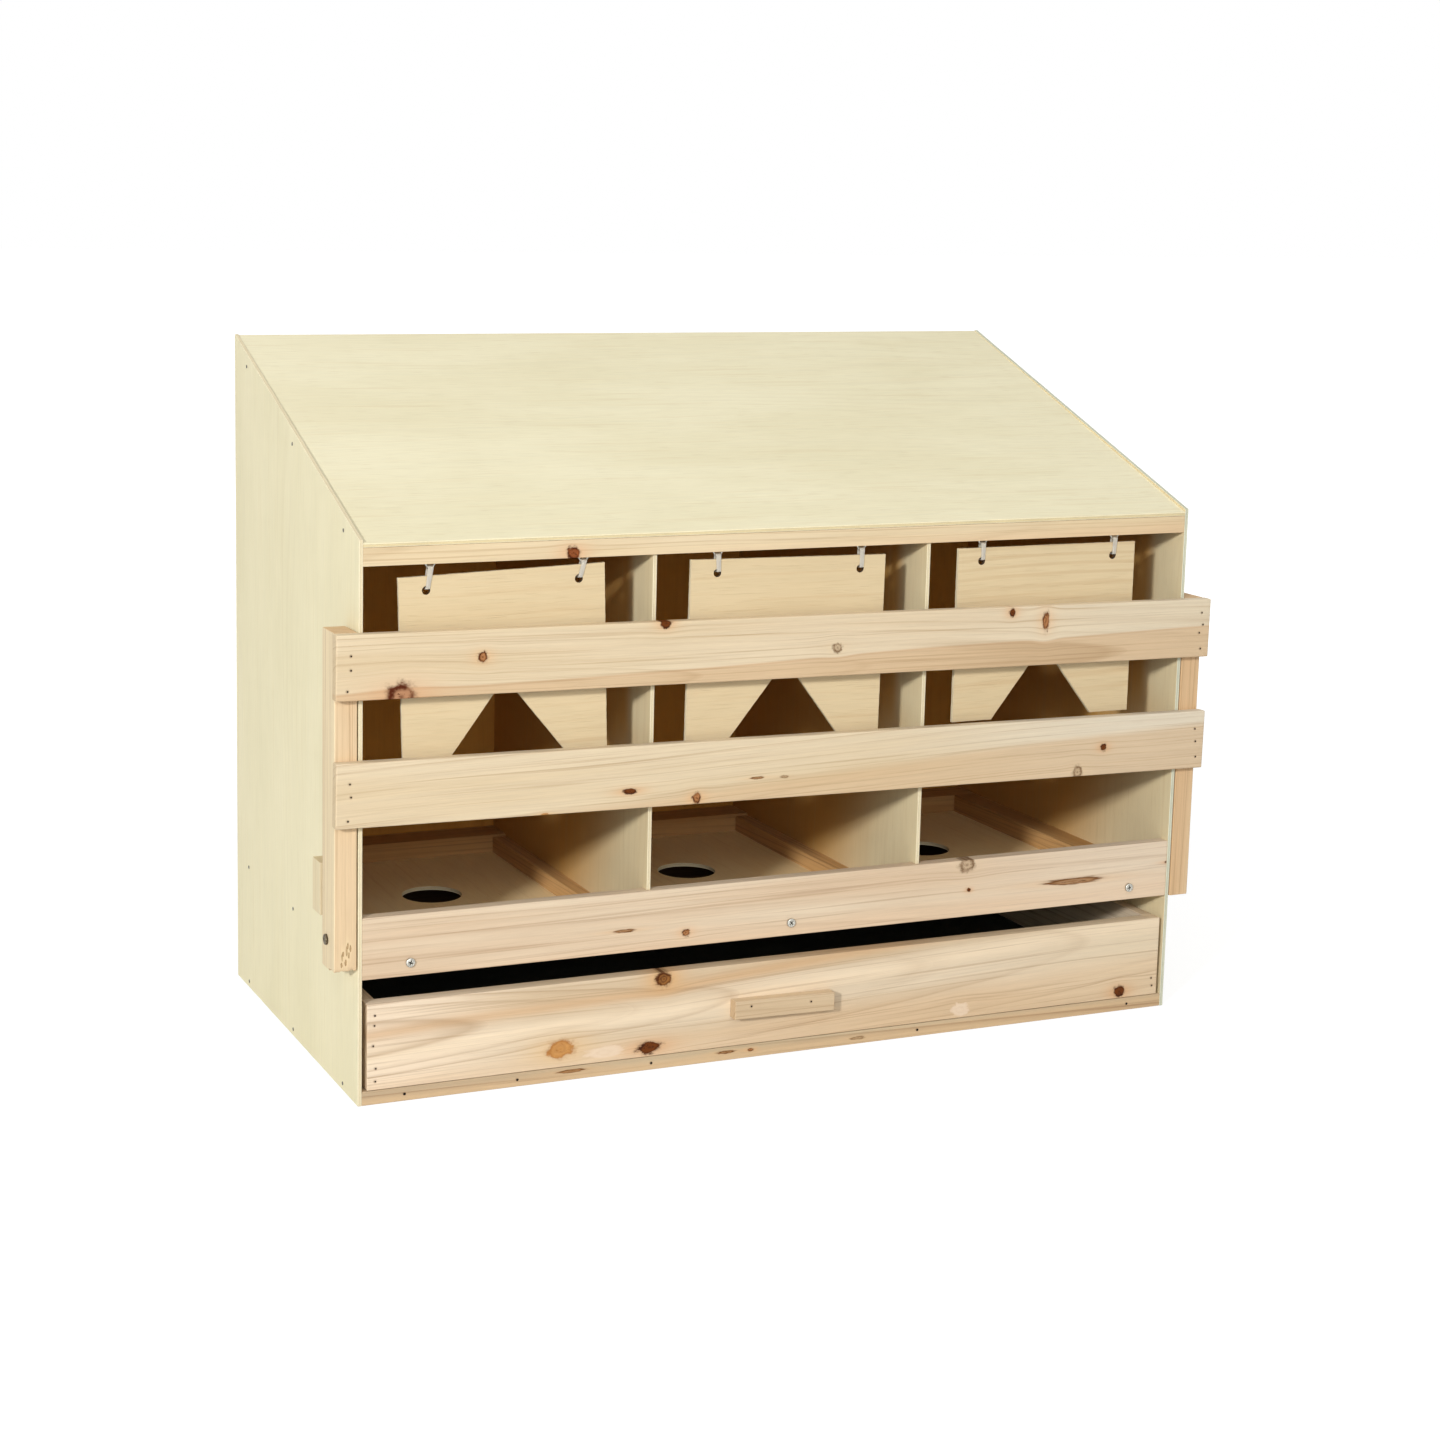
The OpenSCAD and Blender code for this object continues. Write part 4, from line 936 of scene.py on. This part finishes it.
def add_tie(bm, name, side):
    """A flat strap through a hole and over the staple's wire, wider at its top."""
    radius, half_width, half_thickness = 0.0027, 0.0022, 0.0004
    hole_x, hole_z, staple_x = tie_place(name, side)
    bottom, top = hole_z + 0.0023, HINGE_Z + 0.0031
    start = hole_x + 0.0012
    loop = [(y, top - radius + z) for y, z in half_turn(radius, 12)]
    loop += [(-y, bottom - 0.0005 - z * 0.0006 / radius) for y, z in half_turn(radius, 8)]
    rows = []
    for y, z in loop:
        wide = half_width + 0.0007 * max(0.0, (z - HINGE_Z + 0.004) / 0.007)
        middle = start + (staple_x - start) * max(0.0, min(1.0, (z - bottom) / (HINGE_Z - bottom)))
        outward = Vector((0, y, z - (top + bottom) / 2)).normalized() * half_thickness
        rows.append([bm.verts.new(Vector((middle + s * wide, CURTAIN_Y + y, z)) + outward * k)
                     for s, k in ((-1, 1), (0, 1.3), (1, 1), (1, -1), (0, -0.7), (-1, -1))])
    for row, following in zip(rows, rows[1:] + rows[:1]):
        for k in range(6):
            bm.faces.new((row[k], row[(k + 1) % 6], following[(k + 1) % 6], following[k]))


zinc = metal("galvanised_steel", (158, 156, 148), (212, 210, 200), 900.0, 0.4)
dull = metal("weathered_steel", (88, 80, 66), (142, 132, 112), 900.0, 0.5, rust=0.3)
steel = metal("nail_steel", (26, 22, 20), (56, 50, 46), 1500.0, 0.55, rust=0.35)
plated = metal("panel_nail_steel", (72, 70, 64), (126, 123, 114), 1500.0, 0.45, rust=0.15)
strap = nylon("white_nylon")

for number, (place, (x, width, lean, spread, drop, staples)) in enumerate(CURTAINS.items()):
    name = f"{place}_curtain"
    half = width / 2
    outline = jitter([
        (-half, -CURTAIN_HEIGHT), (-NOTCH_HALF_WIDTH, -CURTAIN_HEIGHT), (0, NOTCH_HEIGHT - CURTAIN_HEIGHT),
        (NOTCH_HALF_WIDTH, -CURTAIN_HEIGHT), (half, -CURTAIN_HEIGHT), (half, 0), (-half, 0)],
        0.004, 0.00025, 60 + number)
    face = plywood(name, CURTAIN, 80.0 + number * 2.7, "x", "z", fine=0.12, dashes=0.14, figure=0.3)
    near_y, far_y = CURTAIN_Y - CURTAIN_HALF_THICKNESS, CURTAIN_Y + CURTAIN_HALF_THICKNESS
    # The tie holes' walls get painted shade
    edge = ply_edge(f"{name}_edge", (0, 1, 0), near_y, far_y - near_y, EDGES, 8.0 + number,
                    hole_shade=[tie_place(place, side)[:2] for side in (-1, 1)])
    sheet(name, face, edge, outline, 1, name, (near_y, far_y), ease=0.3,
          holes=[circle(side * spread, -HOLE_DROP, HOLE_RADIUS, 40) for side in (-1, 1)],
          turn=Matrix.Translation((x, 0, curtain_top(place))) @ Matrix.Rotation(math.radians(-lean), 4, "Y"))
    bm = bmesh.new()
    for side in (-1, 1):
        add_tie(bm, place, side)
    done(settle(bm, f"{name}_ties", strap), name, f"{name}_ties")

# A staple's legs stand upright in the rail and then lean together, and its bottom is a short round bend
BEND = 0.0032  # its radius
leg = [(-0.0052, rail_low.z + 0.010), (-0.0052, rail_low.z + 0.001), (-0.0048, rail_low.z - 0.0006)]
bend = [(-x, HINGE_Z + BEND - z) for x, z in half_turn(BEND, 12)[1:-1]]
shape = leg + bend + [(-x, z) for x, z in reversed(leg)]
middles = [tie_place(name, side)[2] for name in CURTAINS for side in (-1, 1)]
paths = [[(middle + x, CURTAIN_Y, z) for x, z in shape] for middle in middles]
done(tube("curtain_staples", zinc, paths, WIRE), "case", "curtain_staples")


# Nails, screws and bolts

SHANK, SUNK = 0.9 * MM, 0.6 * MM  # a nail's radius, and how deep its head's underside lies
# Of a screw head's radius: half the width and the length of the cross's arms, and the shank's radius
ARM_WIDTH, ARM_LENGTH, SCREW_SHANK = 0.13, 0.55, 0.42
# Of a screw head's thickness: how far it falls off to its rim, and how deep the cross is
DOME, RECESS = 0.3, 0.85


def nails(kind, material, radius, proud, seed, body="case"):
    """Nails with a slightly domed head, each a little askew."""
    name = kind + "_nails"
    dice = random.Random(seed)
    bm = bmesh.new()
    for top, out, head, length in NAILS[kind]:
        r = radius * dice.uniform(0.94, 1.0)
        tilt = (dice.uniform(-0.05, 0.05), dice.uniform(-0.05, 0.05))
        lathe(bm, top - out * SUNK, out, [
            (0, -length + 0.0008), (0.0004, -length + 0.0014), (SHANK, -length + 0.003), (SHANK, -0.0004),
            (r * 0.9, -0.0001), (r, proud * 0.35), (r * 0.97, proud * 0.75), (r * 0.82, proud),
            (r * 0.3, proud * 0.9), (0, proud * 0.94)], 20, tilt)
    done(settle(bm, name, material), body, name)


nails("panel", plated, 1.95 * MM, 0.45 * MM, 1)
nails("base_rail", steel, 1.35 * MM, 0.2 * MM, 2)
nails("slat", steel, 0.88 * MM, 0.2 * MM, 3, "perch")
nails("drawer", steel, 0.88 * MM, 0.2 * MM, 4, "drawer")


def recessed_heads(name, material, thickness):
    """Screws or bolts with a domed head, a cross recess and a plain shank. The recess takes the dark nail
    steel as painted shade.
    """
    rings, steps = 14, 56
    bm = bmesh.new()
    for number, (top, out, radius, length) in enumerate(fixings(name)):
        side = out.orthogonal().normalized()
        other = out.cross(side)
        base = top - out * thickness
        cos, sin = math.cos(0.4 + number * 1.1), math.sin(0.4 + number * 1.1)

        def arm(width, run):
            """How deep one arm of the cross is, from 0 to 1."""
            return max(0.0, 1 - abs(width) / (radius * ARM_WIDTH)) if abs(run) < radius * ARM_LENGTH else 0.0

        deep, grid = set(), []
        for k in range(rings + 1):
            row = []
            for u, v in circle(0, 0, radius * k / rings, steps if k else 1):
                cross = (u * cos + v * sin, v * cos - u * sin)
                cut = max(arm(*cross), arm(*cross[::-1]))
                height = thickness * (1 - DOME * (k / rings) ** 5 - RECESS * min(1.0, cut * 2.5))
                row.append(bm.verts.new(base + out * height + side * u + other * v))
                if cut > 0.1:
                    deep.add(row[-1])
            grid.append(row if k else row * steps)
        grid.append([bm.verts.new(base + side * u + other * v) for u, v in circle(0, 0, radius, steps)])
        for face in skin(bm, grid):
            # Faces deep in the cross take the dark steel: painted shade in the recess
            face.material_index = int(all(v in deep for v in face.verts))
        bm.faces.new(grid[-1][::-1])
        shank = radius * SCREW_SHANK
        lathe(bm, base, out, [(0, thickness - length), (shank * 0.3, thickness - length + 0.001),
                              (shank, thickness - length + 0.006), (shank, -0.0001), (0, 0.0)], 16)
    done(settle(bm, name, material, steel), "case", name)


recessed_heads("board_screws", zinc, 0.0024)
recessed_heads("pivot_bolts", dull, 0.0025)
for name in ("spacer_washers", "inner_washers", "pivot_nuts"):
    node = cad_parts[name]
    node.data.materials.clear()
    node.data.materials.append(zinc)


# Light, floor and camera

WHITE = (1.0, 1.0, 1.0, 1.0)
AMBIENT = 0.27  # the white backdrop's strength as a light


def area_light(name, place, target, size, power):
    light = bpy.data.lights.new(name, "AREA")
    light.shape = "RECTANGLE"
    light.size, light.size_y = size
    light.energy = power
    holder = link(name, light)
    holder.location = place
    holder.rotation_euler = (Vector(target) - Vector(place)).to_track_quat("-Z", "Y").to_euler()


area_light("key", (-4.7, -4.15, 2.33), (0.0, 0.0, 0.35), (0.5, 0.5), 260.0)
area_light("fill", (-0.9, -3.2, 1.55), (0.0, 0.0, 0.3), (2.2, 1.2), 33.0)
area_light("top", (0.0, -0.6, 4.0), (0.0, 0.0, 0.4), (3.0, 3.0), 41.0)
area_light("back", (1.4, 4.2, 1.7), (0.0, 0.0, 0.35), (2.0, 1.6), 42.0)


def shown(g):
    """1 for rays that show the backdrop itself, 0 for rays that carry its light to the object."""
    rays = g.node("ShaderNodeLightPath")
    total = sum(g.out(rays, f"Is {kind} Ray") for kind in ("Camera", "Glossy", "Transmission"))
    return g.math("MINIMUM", total, 1.0)


world = bpy.data.worlds.new("studio")
bpy.context.scene.world = world
g = blank_graph(world)
sky = g.node("ShaderNodeBackground", {"Color": WHITE, "Strength": shown(g) * (1.0 - AMBIENT) + AMBIENT})
g.node("ShaderNodeOutputWorld", {0: g.out(sky)})

# Pale paper: it shows as white with the object's shadow, and lights the object as a pale floor does
paper = bpy.data.materials.new("floor")
g = blank_graph(paper)
x, y, z = g.place()
seen = shown(g)
cloud = g.noise(x * 2.0, y * 2.0, 0.0, detail=3.0)
pale = g.mix(seen, g.mix(cloud, (214, 214, 212), (220, 220, 219)), (0.4, 0.4, 0.4, 1.0))
dull_part = g.node("ShaderNodeBsdfDiffuse", {"Color": pale})
strength = seen * g.ease(g.reach(x, y), 0.9, 3.0, 0.76, 1.0)
glow = g.node("ShaderNodeEmission", {"Color": WHITE, "Strength": strength})
both = g.node("ShaderNodeAddShader", {0: g.out(dull_part), 1: g.out(glow)})
g.node("ShaderNodeOutputMaterial", {0: g.out(both)})

bm = bmesh.new()
bmesh.ops.create_grid(bm, x_segments=24, y_segments=24, size=30.0)
stage_floor = settle(bm, "floor", paper)
stage_floor.location.z = -0.0005

# The photograph's camera, solved from the case's straight edges, in pixels of its frame
PHOTO, FOCAL, CENTRE_X, CENTRE_Y = 1440, 2574.64, 606.78, 599.02
camera = bpy.data.cameras.new("camera")
camera.sensor_fit = "HORIZONTAL"
camera.sensor_width = 36.0
camera.lens = FOCAL / PHOTO * camera.sensor_width
camera.shift_x = (PHOTO / 2 - CENTRE_X) / PHOTO
camera.shift_y = (CENTRE_Y - PHOTO / 2) / PHOTO
camera.clip_end = 50.0
eye = link("camera", camera)
right = Vector((0.92165, -0.387631, 0.017443)).normalized()
forward = Vector((0.385408, 0.909303, -0.156938)).normalized()
turn = Matrix((right, right.cross(forward), -forward)).transposed()
eye.matrix_world = Matrix.Translation((-1.143968, -2.425740, 0.853257)) @ turn.to_4x4()
bpy.context.scene.camera = eye
bpy.context.scene.view_settings.view_transform = "Standard"
